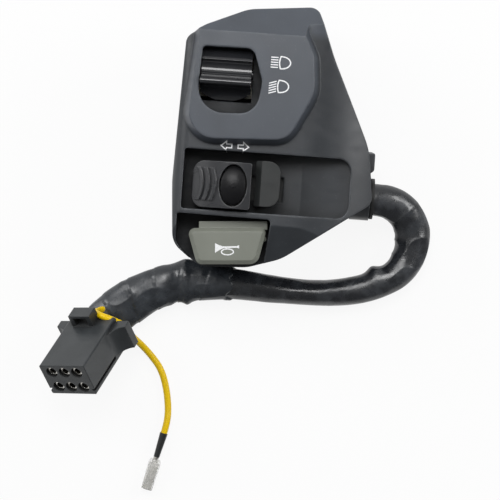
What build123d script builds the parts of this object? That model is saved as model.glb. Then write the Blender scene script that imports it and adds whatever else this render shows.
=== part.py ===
"""Left handlebar switch cluster of a small motorbike, with its harness.

The part lies face up. The bar axis is the X axis, +X points along the bar to
the middle of the bike, +Y to the upper edge of the switch and +Z out of the
face that the rider sees. All sizes are in millimetres.
"""
import os
from math import atan2, cos, hypot, pi, radians, sin, sqrt, tan

from build123d import *

os.makedirs("parts", exist_ok=True)

# Driving sizes of the housing
housing_width = 62.4
housing_height = 82.6
plateau_height = 30.0
deck_height = 26.2
right_rim_height = 18.2
bottom_rim_height = 20.5
front_depth = 18.0
wall = 2.2
bar_radius = 11.1
clamp_gap = 0.05
tunnel_wall = 2.0

# Clearances
overrun = 1.0
press_gap = 0.05
slide_gap = 0.35
seat_gap = 0.3

# Where the bar axis crosses the face, as shares of the housing's width and height
bar_left_share = 0.471
bar_low_share = 0.616

quarter_turn = 90.0

bore_radius = bar_radius + clamp_gap
tunnel_radius = bore_radius + tunnel_wall


def face_x(share):
    """A place across the face, from a share of the housing's width."""
    return (share - bar_left_share) * housing_width


def face_y(share):
    """A place up the face, from a share of the housing's height."""
    return (share - bar_low_share) * housing_height


def corners(shares):
    """Corner points of an outline given as shares of the housing."""
    return [(face_x(across), face_y(up)) for across, up, _ in shares]


def corner_radii(shares):
    """Corner radii of an outline given as shares of the housing's width."""
    return [turn * housing_width for _, _, turn in shares]


# Outline of both shells: across, up, corner radius, as shares
outline_shares = [
    (0.000, 0.317, 0.400),
    (0.024, 0.850, 0.055),
    (0.122, 0.899, 0.150),
    (0.321, 0.972, 0.200),
    (0.662, 1.000, 0.055),
    (0.760, 0.806, 0.900),
    (0.968, 0.478, 0.400),
    (1.000, 0.280, 0.060),
    (0.566, 0.049, 0.250),
    (0.400, 0.008, 0.200),
    (0.162, 0.000, 0.110),
    (0.024, 0.081, 0.110),
]

# Outline of the raised plateau that carries the dimmer
plateau_shares = [
    (0.100, 0.982, 0.010),
    (0.056, 0.472, 0.130),
    (0.555, 0.490, 0.110),
    (0.671, 0.668, 0.200),
    (0.655, 0.805, 0.120),
    (0.600, 0.890, 0.080),
    (0.590, 1.060, 0.010),
]

# Window of the dimmer, cut into the plateau
window_shares = [
    (0.102, 0.690, 0.080),
    (0.110, 0.816, 0.020),
    (0.360, 0.818, 0.050),
    (0.412, 0.700, 0.080),
    (0.392, 0.577, 0.100),
    (0.102, 0.570, 0.125),
]

# Ends of the turn switch's channel, as shares
channel_left_share = 0.054
channel_right_share = 0.880

# Form of the rear shell
shoulder = 4.6
crown_start_share = 0.600
crease_share = 0.876
facet_slope = 42.0
bottom_slope = 22.0
plateau_sink = 3.0
plateau_draft = 24.0
plateau_edge = 1.0
rim_edge = 1.4

left_edge = face_x(0)
right_edge = left_edge + housing_width
low_edge = face_y(0)
high_edge = low_edge + housing_height
crease_y = face_y(crease_share)
crown_x = face_x(crown_start_share)


def shell_form(inset, foot):
    """Outer form of the rear shell, or with an inset the hollow inside it.

    The form is the outline drawn up, cut by a crown profile across the face
    and by a profile up the face, and topped by the tapered plateau.
    """
    plateau_base = deck_height - plateau_sink
    plateau_spread = (plateau_height - plateau_base) * tan(radians(plateau_draft))
    ceiling = plateau_height + wall
    facet_fall = (high_edge - crease_y) * tan(radians(facet_slope))
    facet_rise = (ceiling - plateau_height) / tan(radians(facet_slope))
    bottom_run = (ceiling - bottom_rim_height) / tan(radians(bottom_slope))
    with BuildPart() as form:
        with BuildSketch(Plane.XY.offset(-foot)):
            with BuildLine():
                FilletPolyline(
                    *corners(outline_shares),
                    radius=corner_radii(outline_shares),
                    close=True,
                )
            make_face()
            if inset > 0:
                offset(amount=-inset)
        extrude(amount=deck_height + foot)
        with BuildSketch(Plane.XZ):
            with BuildLine():
                crown = TangentArc(
                    (crown_x, deck_height),
                    (right_edge, right_rim_height),
                    tangent=(1, 0),
                )
                Line(crown @ 1, (right_edge, -front_depth))
                Line((right_edge, -front_depth), (left_edge, -front_depth))
                Line((left_edge, -front_depth), (left_edge, deck_height - shoulder))
                TangentArc(
                    (left_edge, deck_height - shoulder),
                    (left_edge + shoulder, deck_height),
                    tangent=(0, 1),
                )
                Line((left_edge + shoulder, deck_height), (crown_x, deck_height))
            make_face()
            if inset > 0:
                offset(amount=-inset)
        extrude(amount=housing_height, both=True, mode=Mode.INTERSECT)
        with BuildSketch(Plane.XY.offset(plateau_base - inset)):
            with BuildLine():
                FilletPolyline(
                    *corners(plateau_shares),
                    radius=corner_radii(plateau_shares),
                    close=True,
                )
            make_face()
            offset(amount=plateau_spread - inset)
        extrude(amount=plateau_height - plateau_base, taper=plateau_draft)
        with BuildSketch(Plane.XY.offset(-foot)):
            with BuildLine():
                FilletPolyline(
                    *corners(outline_shares),
                    radius=corner_radii(outline_shares),
                    close=True,
                )
            make_face()
            if inset > 0:
                offset(amount=-inset)
        extrude(amount=ceiling + foot, mode=Mode.INTERSECT)
        with BuildSketch(Plane.YZ):
            with BuildLine():
                Polyline(
                    (low_edge, -front_depth),
                    (low_edge, bottom_rim_height),
                    (low_edge + bottom_run, ceiling),
                    (crease_y - facet_rise, ceiling),
                    (high_edge, plateau_height - facet_fall),
                    (high_edge, -front_depth),
                    close=True,
                )
            make_face()
            if inset > 0:
                offset(amount=-inset)
        extrude(amount=housing_width, both=True, mode=Mode.INTERSECT)
    return form


outer = shell_form(0, 0)
inner = shell_form(wall, overrun)


def x_plane(x, y, z):
    """Sketch plane across the bar: its x runs up the face, its y out of it."""
    return Plane(origin=(x, y, z), x_dir=(0, 1, 0), z_dir=(1, 0, 0))


def crown_level(x):
    """Height of the crowned deck at a place across the face."""
    run = right_edge - crown_x
    fall = deck_height - right_rim_height
    crown_radius = (run**2 + fall**2) / (2 * fall)
    return deck_height - crown_radius + sqrt(crown_radius**2 - max(x - crown_x, 0) ** 2)


# Levels above the bar axis
ceiling = plateau_height + wall
channel_floor = 17.0
channel_skin = 2.0
well_drop = 6.3
well_floor = plateau_height - well_drop
well_skin = 1.4
well_wall = 1.5
pocket_floor = 16.0
pocket_skin = 1.8
cup_wall = 1.6

# Drum of the dimmer, which rocks about a pin along X
drum_y_share = 0.7286
drum_drop = 10.5
drum_radius = 9.5
drum_width = 15.6
drum_tilt = 15.3
drum_left = face_x(window_shares[0][0]) + slide_gap
drum_right = drum_left + drum_width
drum_middle = drum_left + drum_width / 2
drum_y = face_y(drum_y_share)
drum_z = plateau_height - drum_drop

# Turn slider, which moves along X in its channel
slider_x_share = 0.3037
slider_y_share = 0.3085
slider_x = face_x(slider_x_share)
slider_y = face_y(slider_y_share)
slider_travel = 2.7
stem_size = 7.0
lug_place = 10.5
lug_stem_size = 4.0
slot_left = slider_x - stem_size / 2 - slider_travel - slide_gap
slot_right = slider_x + lug_place + lug_stem_size / 2 + slider_travel + slide_gap
slot_height = stem_size + 2 * slide_gap

# Channel of the turn switch
channel_left = face_x(channel_left_share)
channel_right = face_x(channel_right_share)
channel_below = 7.89
channel_above = 10.61
channel_flat_reach = 20.98
channel_low = slider_y - channel_below
channel_high = slider_y + channel_above
channel_flat = slider_x + channel_flat_reach
channel_corner = 0.8
channel_end_corner = 4.0
channel_lip = 1.2

# Horn button, which is pushed straight down into its pocket
horn_x_share = 0.2947
horn_y_share = 0.0833
horn_x = face_x(horn_x_share)
horn_y = face_y(horn_y_share)
horn_tilt = 4.0
horn_travel = 2.5
plunger_width = 13.0
plunger_height = 7.0

# Pocket round the horn button, open through the bottom rim: a corner's place and radius
pocket_left_share = 0.037
pocket_left = face_x(pocket_left_share)
pocket_corners = [
    (pocket_left, horn_y + 9.31),
    (horn_x + 12.94, horn_y + 8.98),
    (horn_x + 11.06, horn_y - 10.19),
    (horn_x - 9.03, horn_y - 10.19),
    (horn_x - 9.03, horn_y - 6.88),
    (pocket_left, horn_y + 0.22),
]
pocket_radii = [0.75, 1.25, 0.62, 0.62, 0.62, 4.99]

# Screws and the posts that take them
case_screw_radius = 2.5
case_head_radius = 4.2
case_head_height = 3.0
case_boss_radius = 4.5
case_boss_shares = [(0.527, 0.888), (0.623, 0.174)]
case_counterbore = 5.0
case_grip = 10.0
post_screw_radius = 1.45
post_head_radius = 2.4
post_head_height = 1.6
post_screw_depth = 5.5
post_radius = 2.5
cross_slot = 0.9
fine_slot = 0.6

# Contact plates under the three switches
plate_thickness = 1.6
dimmer_plate_drop = 13.4
dimmer_plate_top = plateau_height - dimmer_plate_drop
turn_plate_top = 8.8
horn_plate_top = 4.2
dimmer_posts = [(drum_right + 9.26, drum_y - 4.26), (drum_right + 9.26, drum_y + 5.73)]
turn_posts = [
    (slider_x - 9.59, slider_y + 9.5),
    (slider_x + 14.43, slider_y + 9.5),
    (slider_x + 25.41, slider_y - 2.6),
]
horn_posts = [(horn_x - 10.5, horn_y + 4.0), (horn_x + 10.5, horn_y + 4.0)]

# Harness port in the lower right corner of the front shell
port_y_share = 0.3085
port_y = face_y(port_y_share)
port_z = -9.0
sleeve_radius = 5.0
grommet_wall = 0.8
spout_wall = 1.2
grommet_radius = sleeve_radius + press_gap + grommet_wall
port_radius = grommet_radius + press_gap
spout_radius = port_radius + spout_wall
spout_start = right_edge - 5.5
spout_length = 6.1


def case_boss_places():
    """Places of the two case screws on the face."""
    return [(face_x(across), face_y(up)) for across, up in case_boss_shares]


with BuildPart() as channel_space:
    with BuildSketch(Plane.XY.offset(channel_floor)):
        with BuildLine():
            FilletPolyline(
                (channel_left, channel_low),
                (channel_left, channel_high),
                (channel_right, channel_high),
                (channel_right, channel_low),
                radius=[channel_corner, channel_corner, channel_end_corner, channel_end_corner],
                close=True,
            )
        make_face()
    extrude(amount=ceiling - channel_floor)
    with BuildSketch(Plane.XZ):
        with BuildLine():
            Polyline(
                (channel_left - overrun, channel_floor),
                (channel_flat, channel_floor),
                (channel_right + overrun, crown_level(channel_right) - channel_lip),
                (channel_right + overrun, ceiling),
                (channel_left - overrun, ceiling),
                close=True,
            )
        make_face()
    extrude(amount=housing_height, both=True, mode=Mode.INTERSECT)

with BuildPart() as window_space:
    with BuildSketch(Plane.XY.offset(well_floor)):
        with BuildLine():
            FilletPolyline(*corners(window_shares), radius=corner_radii(window_shares), close=True)
        make_face()
    extrude(amount=ceiling - well_floor)

with BuildPart() as drum_space:
    with BuildSketch(x_plane(drum_left - slide_gap, drum_y, drum_z)):
        Circle(drum_radius + slide_gap)
        with Locations((0, drum_radius)):
            Rectangle(3 * drum_radius, 2 * drum_radius, mode=Mode.INTERSECT)
    extrude(amount=drum_width + 2 * slide_gap)

with BuildPart() as pocket_space:
    with BuildSketch(Plane.XY.offset(pocket_floor)):
        with BuildLine():
            FilletPolyline(*pocket_corners, radius=pocket_radii, close=True)
        make_face()
    extrude(amount=ceiling - pocket_floor)

# Detent rail for the ball of the turn slider: a bar with three notches
ball_radius = 0.75
ball_gap = 0.15
carrier_depth = 12.0
notch_radius = 1.35
rail_width = 14.0
rail_depth = 1.5
ball_y = slider_y + carrier_depth / 2
rail_y = ball_y + ball_radius + ball_gap
carrier_top = channel_floor - channel_skin - 0.4
carrier_thickness = 2.4
ball_z = carrier_top - carrier_thickness / 2

# Walls, cups, tunnel and posts inside the rear shell
with BuildPart() as inner_walls:
    with BuildSketch(Plane.XY.offset(channel_floor - channel_skin)):
        with BuildLine():
            FilletPolyline(
                (channel_left, channel_low),
                (channel_left, channel_high),
                (channel_right, channel_high),
                (channel_right, channel_low),
                radius=[channel_corner, channel_corner, channel_end_corner, channel_end_corner],
                close=True,
            )
        make_face()
        offset(amount=cup_wall)
    extrude(amount=ceiling - channel_floor + channel_skin)
    with BuildSketch(Plane.XY.offset(well_floor - well_skin)):
        with BuildLine():
            FilletPolyline(*corners(window_shares), radius=corner_radii(window_shares), close=True)
        make_face()
        offset(amount=well_wall)
    extrude(amount=ceiling - well_floor + well_skin)
    with BuildSketch(Plane.XY.offset(pocket_floor - pocket_skin)):
        with BuildLine():
            FilletPolyline(*pocket_corners, radius=pocket_radii, close=True)
        make_face()
        offset(amount=cup_wall)
    extrude(amount=ceiling - pocket_floor + pocket_skin)
    with BuildSketch(x_plane(left_edge - overrun, 0, 0)):
        Circle(tunnel_radius)
    extrude(amount=housing_width + 2 * overrun)
    with BuildSketch(Plane.XY):
        with Locations(*case_boss_places()):
            Circle(case_boss_radius)
    extrude(amount=ceiling)
    with BuildSketch(Plane.XY.offset(dimmer_plate_top)):
        with Locations(*dimmer_posts):
            Circle(post_radius)
    extrude(amount=ceiling - dimmer_plate_top)
    with BuildSketch(Plane.XY.offset(turn_plate_top)):
        with Locations(*turn_posts):
            Circle(post_radius)
    extrude(amount=channel_floor - turn_plate_top)
    with BuildSketch(Plane.XY.offset(horn_plate_top)):
        with Locations(*horn_posts):
            Circle(post_radius)
    extrude(amount=pocket_floor - horn_plate_top)
    with BuildSketch(Plane.XY.offset(carrier_top - carrier_thickness)):
        with Locations((slider_x, rail_y)):
            Rectangle(rail_width, rail_depth, align=(Align.CENTER, Align.MIN))
        with Locations(*[(slider_x + step * slider_travel, ball_y) for step in (-1, 0, 1)]):
            Circle(notch_radius, mode=Mode.SUBTRACT)
    extrude(amount=channel_floor - carrier_top + carrier_thickness)
    add(outer.part, mode=Mode.INTERSECT)

with BuildPart() as rear_housing:
    add(outer.part)
    add(inner.part, mode=Mode.SUBTRACT)
    add(inner_walls.part)
    add(channel_space.part, mode=Mode.SUBTRACT)
    add(window_space.part, mode=Mode.SUBTRACT)
    add(drum_space.part, mode=Mode.SUBTRACT)
    add(pocket_space.part, mode=Mode.SUBTRACT)
    with BuildSketch(x_plane(left_edge - overrun, 0, 0)):
        Circle(bore_radius)
    extrude(amount=housing_width + 2 * overrun, mode=Mode.SUBTRACT)
    with BuildSketch(Plane.XY.offset(-overrun)):
        with Locations(*case_boss_places()):
            Circle(case_screw_radius)
    extrude(amount=case_grip + 2 * overrun, mode=Mode.SUBTRACT)
    with BuildSketch(Plane.XY.offset(dimmer_plate_top - overrun)):
        with Locations(*dimmer_posts):
            Circle(post_screw_radius)
    extrude(amount=post_screw_depth + 2 * overrun, mode=Mode.SUBTRACT)
    with BuildSketch(Plane.XY.offset(turn_plate_top - overrun)):
        with Locations(*turn_posts):
            Circle(post_screw_radius)
    extrude(amount=post_screw_depth + 2 * overrun, mode=Mode.SUBTRACT)
    with BuildSketch(Plane.XY.offset(horn_plate_top - overrun)):
        with Locations(*horn_posts):
            Circle(post_screw_radius)
    extrude(amount=post_screw_depth + 2 * overrun, mode=Mode.SUBTRACT)
    with BuildSketch(Plane.XY.offset(channel_floor - channel_skin - overrun)):
        with Locations(((slot_left + slot_right) / 2, slider_y)):
            Rectangle(slot_right - slot_left, slot_height)
    extrude(amount=channel_skin + 2 * overrun, mode=Mode.SUBTRACT)
    with BuildSketch(Plane.XY.offset(pocket_floor - pocket_skin - overrun)):
        with Locations(Location((horn_x, horn_y), horn_tilt)):
            Rectangle(plunger_width + 2 * slide_gap, plunger_height + 2 * slide_gap)
    extrude(amount=pocket_skin + 2 * overrun, mode=Mode.SUBTRACT)
rear_housing.part.label = "rear_housing"
export_step(rear_housing.part, "parts/rear_housing.step")

# Front shell: a shallow tub with the harness port and a lug
front_draft = 4.0
front_edge = 3.0
case_clear_radius = 2.7
case_counterbore_radius = 4.6
case_screw_base = case_counterbore - front_depth
lug_tab_left = right_edge - 4.41
lug_tab_right = right_edge + 1.09
lug_tab_low = port_y + 8.0
lug_tab_high = port_y + 14.9
lug_tab_bottom = -7.0
lug_tab_top = -0.5

with BuildPart() as front_hollow:
    with BuildSketch(Plane.XY):
        with BuildLine():
            FilletPolyline(
                *corners(outline_shares),
                radius=corner_radii(outline_shares),
                close=True,
            )
        make_face()
        offset(amount=-wall)
    extrude(amount=wall - front_depth, taper=front_draft)

with BuildPart() as front_walls:
    with BuildSketch(x_plane(left_edge, 0, 0)):
        Circle(tunnel_radius)
    extrude(amount=housing_width)
    with BuildSketch(Plane.XY.offset(-front_depth)):
        with Locations(*case_boss_places()):
            Circle(case_boss_radius + seat_gap)
    extrude(amount=front_depth)
    with BuildSketch(Plane.XY):
        with BuildLine():
            FilletPolyline(
                *corners(outline_shares),
                radius=corner_radii(outline_shares),
                close=True,
            )
        make_face()
    extrude(amount=-front_depth, taper=front_draft, mode=Mode.INTERSECT)

with BuildPart() as front_housing:
    with BuildSketch(Plane.XY):
        with BuildLine():
            FilletPolyline(
                *corners(outline_shares),
                radius=corner_radii(outline_shares),
                close=True,
            )
        make_face()
    extrude(amount=-front_depth, taper=front_draft)
    fillet(front_housing.faces().sort_by(Axis.Z)[0].edges(), front_edge)
    with BuildSketch(Plane.XY.offset(lug_tab_bottom)):
        with Locations((lug_tab_left, lug_tab_low)):
            Rectangle(
                lug_tab_right - lug_tab_left,
                lug_tab_high - lug_tab_low,
                align=(Align.MIN, Align.MIN),
            )
    extrude(amount=lug_tab_top - lug_tab_bottom)
    fillet(
        front_housing.edges().filter_by(Axis.Z).group_by(Axis.X)[-1],
        rim_edge,
    )
    add(front_hollow.part, mode=Mode.SUBTRACT)
    add(front_walls.part)
    with BuildSketch(x_plane(spout_start, port_y, port_z)):
        Circle(spout_radius)
    extrude(amount=spout_length)
    with BuildSketch(x_plane(spout_start, port_y, port_z)):
        Circle(port_radius)
    extrude(amount=housing_width, mode=Mode.SUBTRACT)
    with BuildSketch(x_plane(left_edge - overrun, 0, 0)):
        Circle(bore_radius)
    extrude(amount=housing_width + 2 * overrun, mode=Mode.SUBTRACT)
    with BuildSketch(Plane.XY.offset(-front_depth)):
        with Locations(*case_boss_places()):
            Circle(case_clear_radius)
    extrude(amount=front_depth, mode=Mode.SUBTRACT)
    with BuildSketch(Plane.XY.offset(-front_depth)):
        with Locations(*case_boss_places()):
            Circle(case_counterbore_radius)
    extrude(amount=case_counterbore, mode=Mode.SUBTRACT)
front_housing.part.label = "front_housing"
export_step(front_housing.part, "parts/front_housing.step")


# Screws that hold the two shells together round the bar
case_socket_radius = 2.6
case_socket_depth = 1.6

with BuildPart() as case_screws:
    with BuildSketch(Plane.XY.offset(case_screw_base)):
        with Locations(*case_boss_places()):
            Circle(case_screw_radius)
    extrude(amount=case_grip - case_screw_base)
    with BuildSketch(Plane.XY.offset(case_screw_base)):
        with Locations(*case_boss_places()):
            Circle(case_head_radius)
    extrude(amount=-case_head_height)
    with BuildSketch(Plane.XY.offset(case_screw_base - case_head_height)):
        with Locations(*case_boss_places()):
            Rectangle(2 * case_socket_radius, cross_slot)
            Rectangle(cross_slot, 2 * case_socket_radius)
    extrude(amount=case_socket_depth, mode=Mode.SUBTRACT)
case_screws.part.label = "case_screws"
export_step(case_screws.part, "parts/case_screws.step")


# Screws that hold the three contact plates to the posts of the rear shell
post_slot_radius = 1.3
post_slot_depth = 0.8
post_screw_rows = [
    (dimmer_posts, dimmer_plate_top),
    (turn_posts, turn_plate_top),
    (horn_posts, horn_plate_top),
]

with BuildPart() as plate_screws:
    for places, plate_top in post_screw_rows:
        head_level = plate_top - plate_thickness
        with BuildSketch(Plane.XY.offset(head_level)):
            with Locations(*places):
                Circle(post_screw_radius)
        extrude(amount=plate_thickness + post_screw_depth)
        with BuildSketch(Plane.XY.offset(head_level)):
            with Locations(*places):
                Circle(post_head_radius)
        extrude(amount=-post_head_height)
        with BuildSketch(Plane.XY.offset(head_level - post_head_height)):
            with Locations(*places):
                Rectangle(2 * post_slot_radius, fine_slot)
                Rectangle(fine_slot, 2 * post_slot_radius)
        extrude(amount=post_slot_depth, mode=Mode.SUBTRACT)
plate_screws.part.label = "plate_screws"
export_step(plate_screws.part, "parts/plate_screws.step")


# Dimmer: a drum with a thumb fin that rocks on a pin
drum_back_angle = 80.0
drum_lobe_angle = 52.6
drum_hub_radius = 2.6
fin_base_half = 1.6
fin_base_radius = 7.0
fin_tip_half = 0.85
fin_tip_radius = 13.15
fin_end_round = 0.7
back_scallop = (3.45, 8.8, 2.5)
lobe_scallop = (-6.6, 11.8, 5.5)
drum_front_ends = 3.15
drum_front_middle = 0.45
neck_radius = 2.1
neck_half = 2.2
pin_radius = 1.0
pin_fit = 0.05
hub_reach = 2.6
hub_tube_radius = 1.7
leaf_bump_radius = 1.2
leaf_bump_gap = 0.15
notch_circle_radius = 1.35
notch_sink = 0.35
drum_plane = Plane(
    origin=(drum_left, drum_y, drum_z),
    x_dir=(0, cos(radians(drum_tilt)), sin(radians(drum_tilt))),
    z_dir=(1, 0, 0),
)
first_ray = quarter_turn - drum_back_angle
last_ray = quarter_turn + drum_lobe_angle
notch_reach = neck_radius - notch_sink + notch_circle_radius

with BuildPart() as dimmer_knob:
    with BuildSketch(drum_plane):
        with BuildLine():
            rim_arc = CenterArc((0, 0), drum_radius, first_ray, last_ray - first_ray)
            Line((0, 0), rim_arc @ 0)
            Line((0, 0), rim_arc @ 1)
        make_face()
        Circle(drum_hub_radius)
        with BuildLine():
            Polyline(
                (-fin_base_half, fin_base_radius),
                (-fin_tip_half, fin_tip_radius),
                (fin_tip_half, fin_tip_radius),
                (fin_base_half, fin_base_radius),
                close=True,
            )
        make_face()
        with Locations((0, fin_tip_radius)):
            Circle(fin_tip_half)
        with Locations((back_scallop[0], back_scallop[1])):
            Circle(back_scallop[2], mode=Mode.SUBTRACT)
        with Locations((lobe_scallop[0], lobe_scallop[1])):
            Circle(lobe_scallop[2], mode=Mode.SUBTRACT)
    extrude(amount=drum_width)
    with BuildSketch(Plane.XY):
        with BuildLine():
            ThreePointArc(
                (drum_left, drum_front_ends),
                (drum_middle, drum_front_middle),
                (drum_right, drum_front_ends),
            )
            Polyline(
                (drum_right, drum_front_ends),
                (drum_right, high_edge),
                (drum_left, high_edge),
                (drum_left, drum_front_ends),
            )
        make_face()
    extrude(amount=housing_height, mode=Mode.INTERSECT)
    with BuildSketch(drum_plane.offset(drum_width / 2 - neck_half)):
        with Locations((0, -drum_hub_radius)):
            Rectangle(4 * drum_hub_radius, 2 * drum_hub_radius)
        Circle(neck_radius, mode=Mode.SUBTRACT)
        for swing in (-drum_tilt, drum_tilt):
            ray = radians(swing - quarter_turn)
            with Locations((notch_reach * cos(ray), notch_reach * sin(ray))):
                Circle(notch_circle_radius)
    extrude(amount=2 * neck_half, mode=Mode.SUBTRACT)
    with BuildSketch(drum_plane.offset(drum_width)):
        Circle(hub_tube_radius)
    extrude(amount=hub_reach)
    with BuildSketch(drum_plane):
        Circle(pin_radius + pin_fit)
    extrude(amount=drum_width + hub_reach, mode=Mode.SUBTRACT)
dimmer_knob.part.label = "dimmer_knob"
export_step(dimmer_knob.part, "parts/dimmer_knob.step")


# Base of the dimmer with the two ears that hold the pin
dimmer_base_left = drum_left - 1.75
dimmer_base_right = drum_right + 12.08
dimmer_base_low = drum_y - 7.1
dimmer_base_high = drum_y + 8.3
ear_thickness = 1.4
ear_half = 3.6
ear_top = drum_z + 2.4
right_ear_left = drum_right + 0.5
leaf_window_half = (2.3, 1.6)

with BuildPart() as dimmer_base:
    with BuildSketch(Plane.XY.offset(dimmer_plate_top - plate_thickness)):
        with Locations((dimmer_base_left, dimmer_base_low)):
            Rectangle(
                dimmer_base_right - dimmer_base_left,
                dimmer_base_high - dimmer_base_low,
                align=(Align.MIN, Align.MIN),
            )
        with Locations((drum_middle, drum_y)):
            Rectangle(2 * leaf_window_half[0], 2 * leaf_window_half[1], mode=Mode.SUBTRACT)
        with Locations(*dimmer_posts):
            Circle(post_screw_radius, mode=Mode.SUBTRACT)
    extrude(amount=plate_thickness)
    for ear_left in (dimmer_base_left, right_ear_left):
        with BuildSketch(Plane.XY.offset(dimmer_plate_top)):
            with Locations((ear_left, drum_y - ear_half)):
                Rectangle(ear_thickness, 2 * ear_half, align=(Align.MIN, Align.MIN))
        extrude(amount=ear_top - dimmer_plate_top)
    with BuildSketch(x_plane(dimmer_base_left, drum_y, drum_z)):
        Circle(pin_radius)
    extrude(amount=ear_thickness, mode=Mode.SUBTRACT)
    with BuildSketch(x_plane(right_ear_left, drum_y, drum_z)):
        Circle(hub_tube_radius + pin_fit)
    extrude(amount=ear_thickness, mode=Mode.SUBTRACT)
dimmer_base.part.label = "dimmer_base"
export_step(dimmer_base.part, "parts/dimmer_base.step")

with BuildPart() as dimmer_pin:
    with BuildSketch(x_plane(dimmer_base_left, drum_y, drum_z)):
        Circle(pin_radius)
    extrude(amount=drum_right + hub_reach - dimmer_base_left - seat_gap)
dimmer_pin.part.label = "dimmer_pin"
export_step(dimmer_pin.part, "parts/dimmer_pin.step")


# Leaf spring whose bump clicks into the notches of the hub
leaf_thickness = 0.4
leaf_width = 4.0
leaf_low = drum_y - 6.1
leaf_high = drum_y + 7.1
leaf_bump_width = 3.0
leaf_top = dimmer_plate_top - plate_thickness
leaf_bump_z = drum_z - neck_radius - leaf_bump_gap - leaf_bump_radius

with BuildPart() as dimmer_leaf:
    with BuildSketch(Plane.XY.offset(leaf_top - leaf_thickness)):
        with Locations((drum_middle, leaf_low)):
            Rectangle(leaf_width, leaf_high - leaf_low, align=(Align.CENTER, Align.MIN))
    extrude(amount=leaf_thickness)
    with BuildSketch(x_plane(drum_middle - leaf_bump_width / 2, drum_y, leaf_bump_z)):
        Circle(leaf_bump_radius)
    extrude(amount=leaf_bump_width)
    with BuildSketch(x_plane(drum_middle - leaf_bump_width / 2, drum_y, leaf_top)):
        Rectangle(2 * leaf_bump_radius, leaf_bump_z - leaf_top, align=(Align.CENTER, Align.MIN))
    extrude(amount=leaf_bump_width)
dimmer_leaf.part.label = "dimmer_leaf"
export_step(dimmer_leaf.part, "parts/dimmer_leaf.step")


# Wiper of the dimmer, which turns with the hub over three contacts
dimmer_wiper_left = drum_right + 2.18
dimmer_wiper_thickness = 0.4
wiper_ring_radius = 2.6
wiper_arm_reach = 4.4
wiper_arm_width = 2.2
contact_plate_left = drum_right + 3.48
contact_plate_thickness = 1.2
contact_plate_low = drum_y - 6.3
contact_plate_high = drum_y + 6.3
contact_plate_top = drum_z + 2.5
contact_rise = 0.7
contact_radius = 1.3
contact_stem_radius = 0.8
contact_tail_radius = 1.2
contact_tail = 0.6
dimmer_contact_places = [(-4.4, 0), (4.4, 0), (0, -1.6)]

with BuildPart() as dimmer_wiper:
    with BuildSketch(drum_plane.offset(dimmer_wiper_left - drum_left)):
        Circle(wiper_ring_radius)
        SlotCenterToCenter(2 * wiper_arm_reach, wiper_arm_width)
        Circle(hub_tube_radius, mode=Mode.SUBTRACT)
    extrude(amount=dimmer_wiper_thickness)
dimmer_wiper.part.label = "dimmer_wiper"
export_step(dimmer_wiper.part, "parts/dimmer_wiper.step")

with BuildPart() as dimmer_contact_plate:
    with BuildSketch(x_plane(contact_plate_left, 0, dimmer_plate_top)):
        with Locations((contact_plate_low, 0)):
            Rectangle(
                contact_plate_high - contact_plate_low,
                contact_plate_top - dimmer_plate_top,
                align=(Align.MIN, Align.MIN),
            )
        for along, up in dimmer_contact_places:
            with Locations((drum_y + along, drum_z - dimmer_plate_top + up)):
                Circle(contact_stem_radius, mode=Mode.SUBTRACT)
    extrude(amount=contact_plate_thickness)
dimmer_contact_plate.part.label = "dimmer_contact_plate"
export_step(dimmer_contact_plate.part, "parts/dimmer_contact_plate.step")

with BuildPart() as dimmer_contacts:
    with BuildSketch(x_plane(contact_plate_left, drum_y, drum_z)):
        with Locations(*dimmer_contact_places):
            Circle(contact_radius)
    extrude(amount=-contact_rise)
    with BuildSketch(x_plane(contact_plate_left, drum_y, drum_z)):
        with Locations(*dimmer_contact_places):
            Circle(contact_stem_radius)
    extrude(amount=contact_plate_thickness)
    with BuildSketch(x_plane(contact_plate_left + contact_plate_thickness, drum_y, drum_z)):
        with Locations(*dimmer_contact_places):
            Circle(contact_tail_radius)
    extrude(amount=contact_tail)
dimmer_contacts.part.label = "dimmer_contacts"
export_step(dimmer_contacts.part, "parts/dimmer_contacts.step")


# Turn slider: a crowned knob with a well for the cancel button
knob_base = channel_floor + 0.4
knob_left_reach = 12.46
knob_right_reach = 5.44
knob_height = 14.3
knob_left_corner = 3.4
knob_right_corner = 0.7
knob_left_top = 25.0
knob_peak = 28.4
knob_right_top = 28.0
knob_peak_reach = 3.5
well_half_width = 4.3
well_half_height = 6.5
well_bottom = 21.0
stem_top = 20.3
stem_bore_radius = 1.9
rib_count = 3
rib_pitch = 2.0
rib_width = 1.0
rib_rise = 0.8
rib_length = 10.0
rib_bow_radius = 12.0
rib_reach = 5.2
knob_left = slider_x - knob_left_reach
knob_right = slider_x + knob_right_reach
knob_bottom = slider_y - knob_height / 2

with BuildPart() as grip_ribs:
    with BuildSketch(Plane.XY.offset(knob_base)):
        for rib in range(rib_count):
            bow_x = slider_x - rib_reach - rib * rib_pitch - rib_bow_radius
            with Locations((bow_x, slider_y)):
                Circle(rib_bow_radius)
                Circle(rib_bow_radius - rib_width, mode=Mode.SUBTRACT)
        with Locations((knob_left + rib_width, slider_y)):
            Rectangle(
                knob_left_reach - rib_width,
                rib_length,
                align=(Align.MIN, Align.CENTER),
                mode=Mode.INTERSECT,
            )
    extrude(amount=ceiling - knob_base)
    with BuildSketch(Plane.XZ):
        with BuildLine():
            ThreePointArc(
                (knob_left, knob_left_top + rib_rise),
                (slider_x - knob_peak_reach, knob_peak + rib_rise),
                (knob_right, knob_right_top + rib_rise),
            )
            Polyline(
                (knob_right, knob_right_top + rib_rise),
                (knob_right, knob_base),
                (knob_left, knob_base),
                (knob_left, knob_left_top + rib_rise),
            )
        make_face()
    extrude(amount=housing_height, both=True, mode=Mode.INTERSECT)

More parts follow.
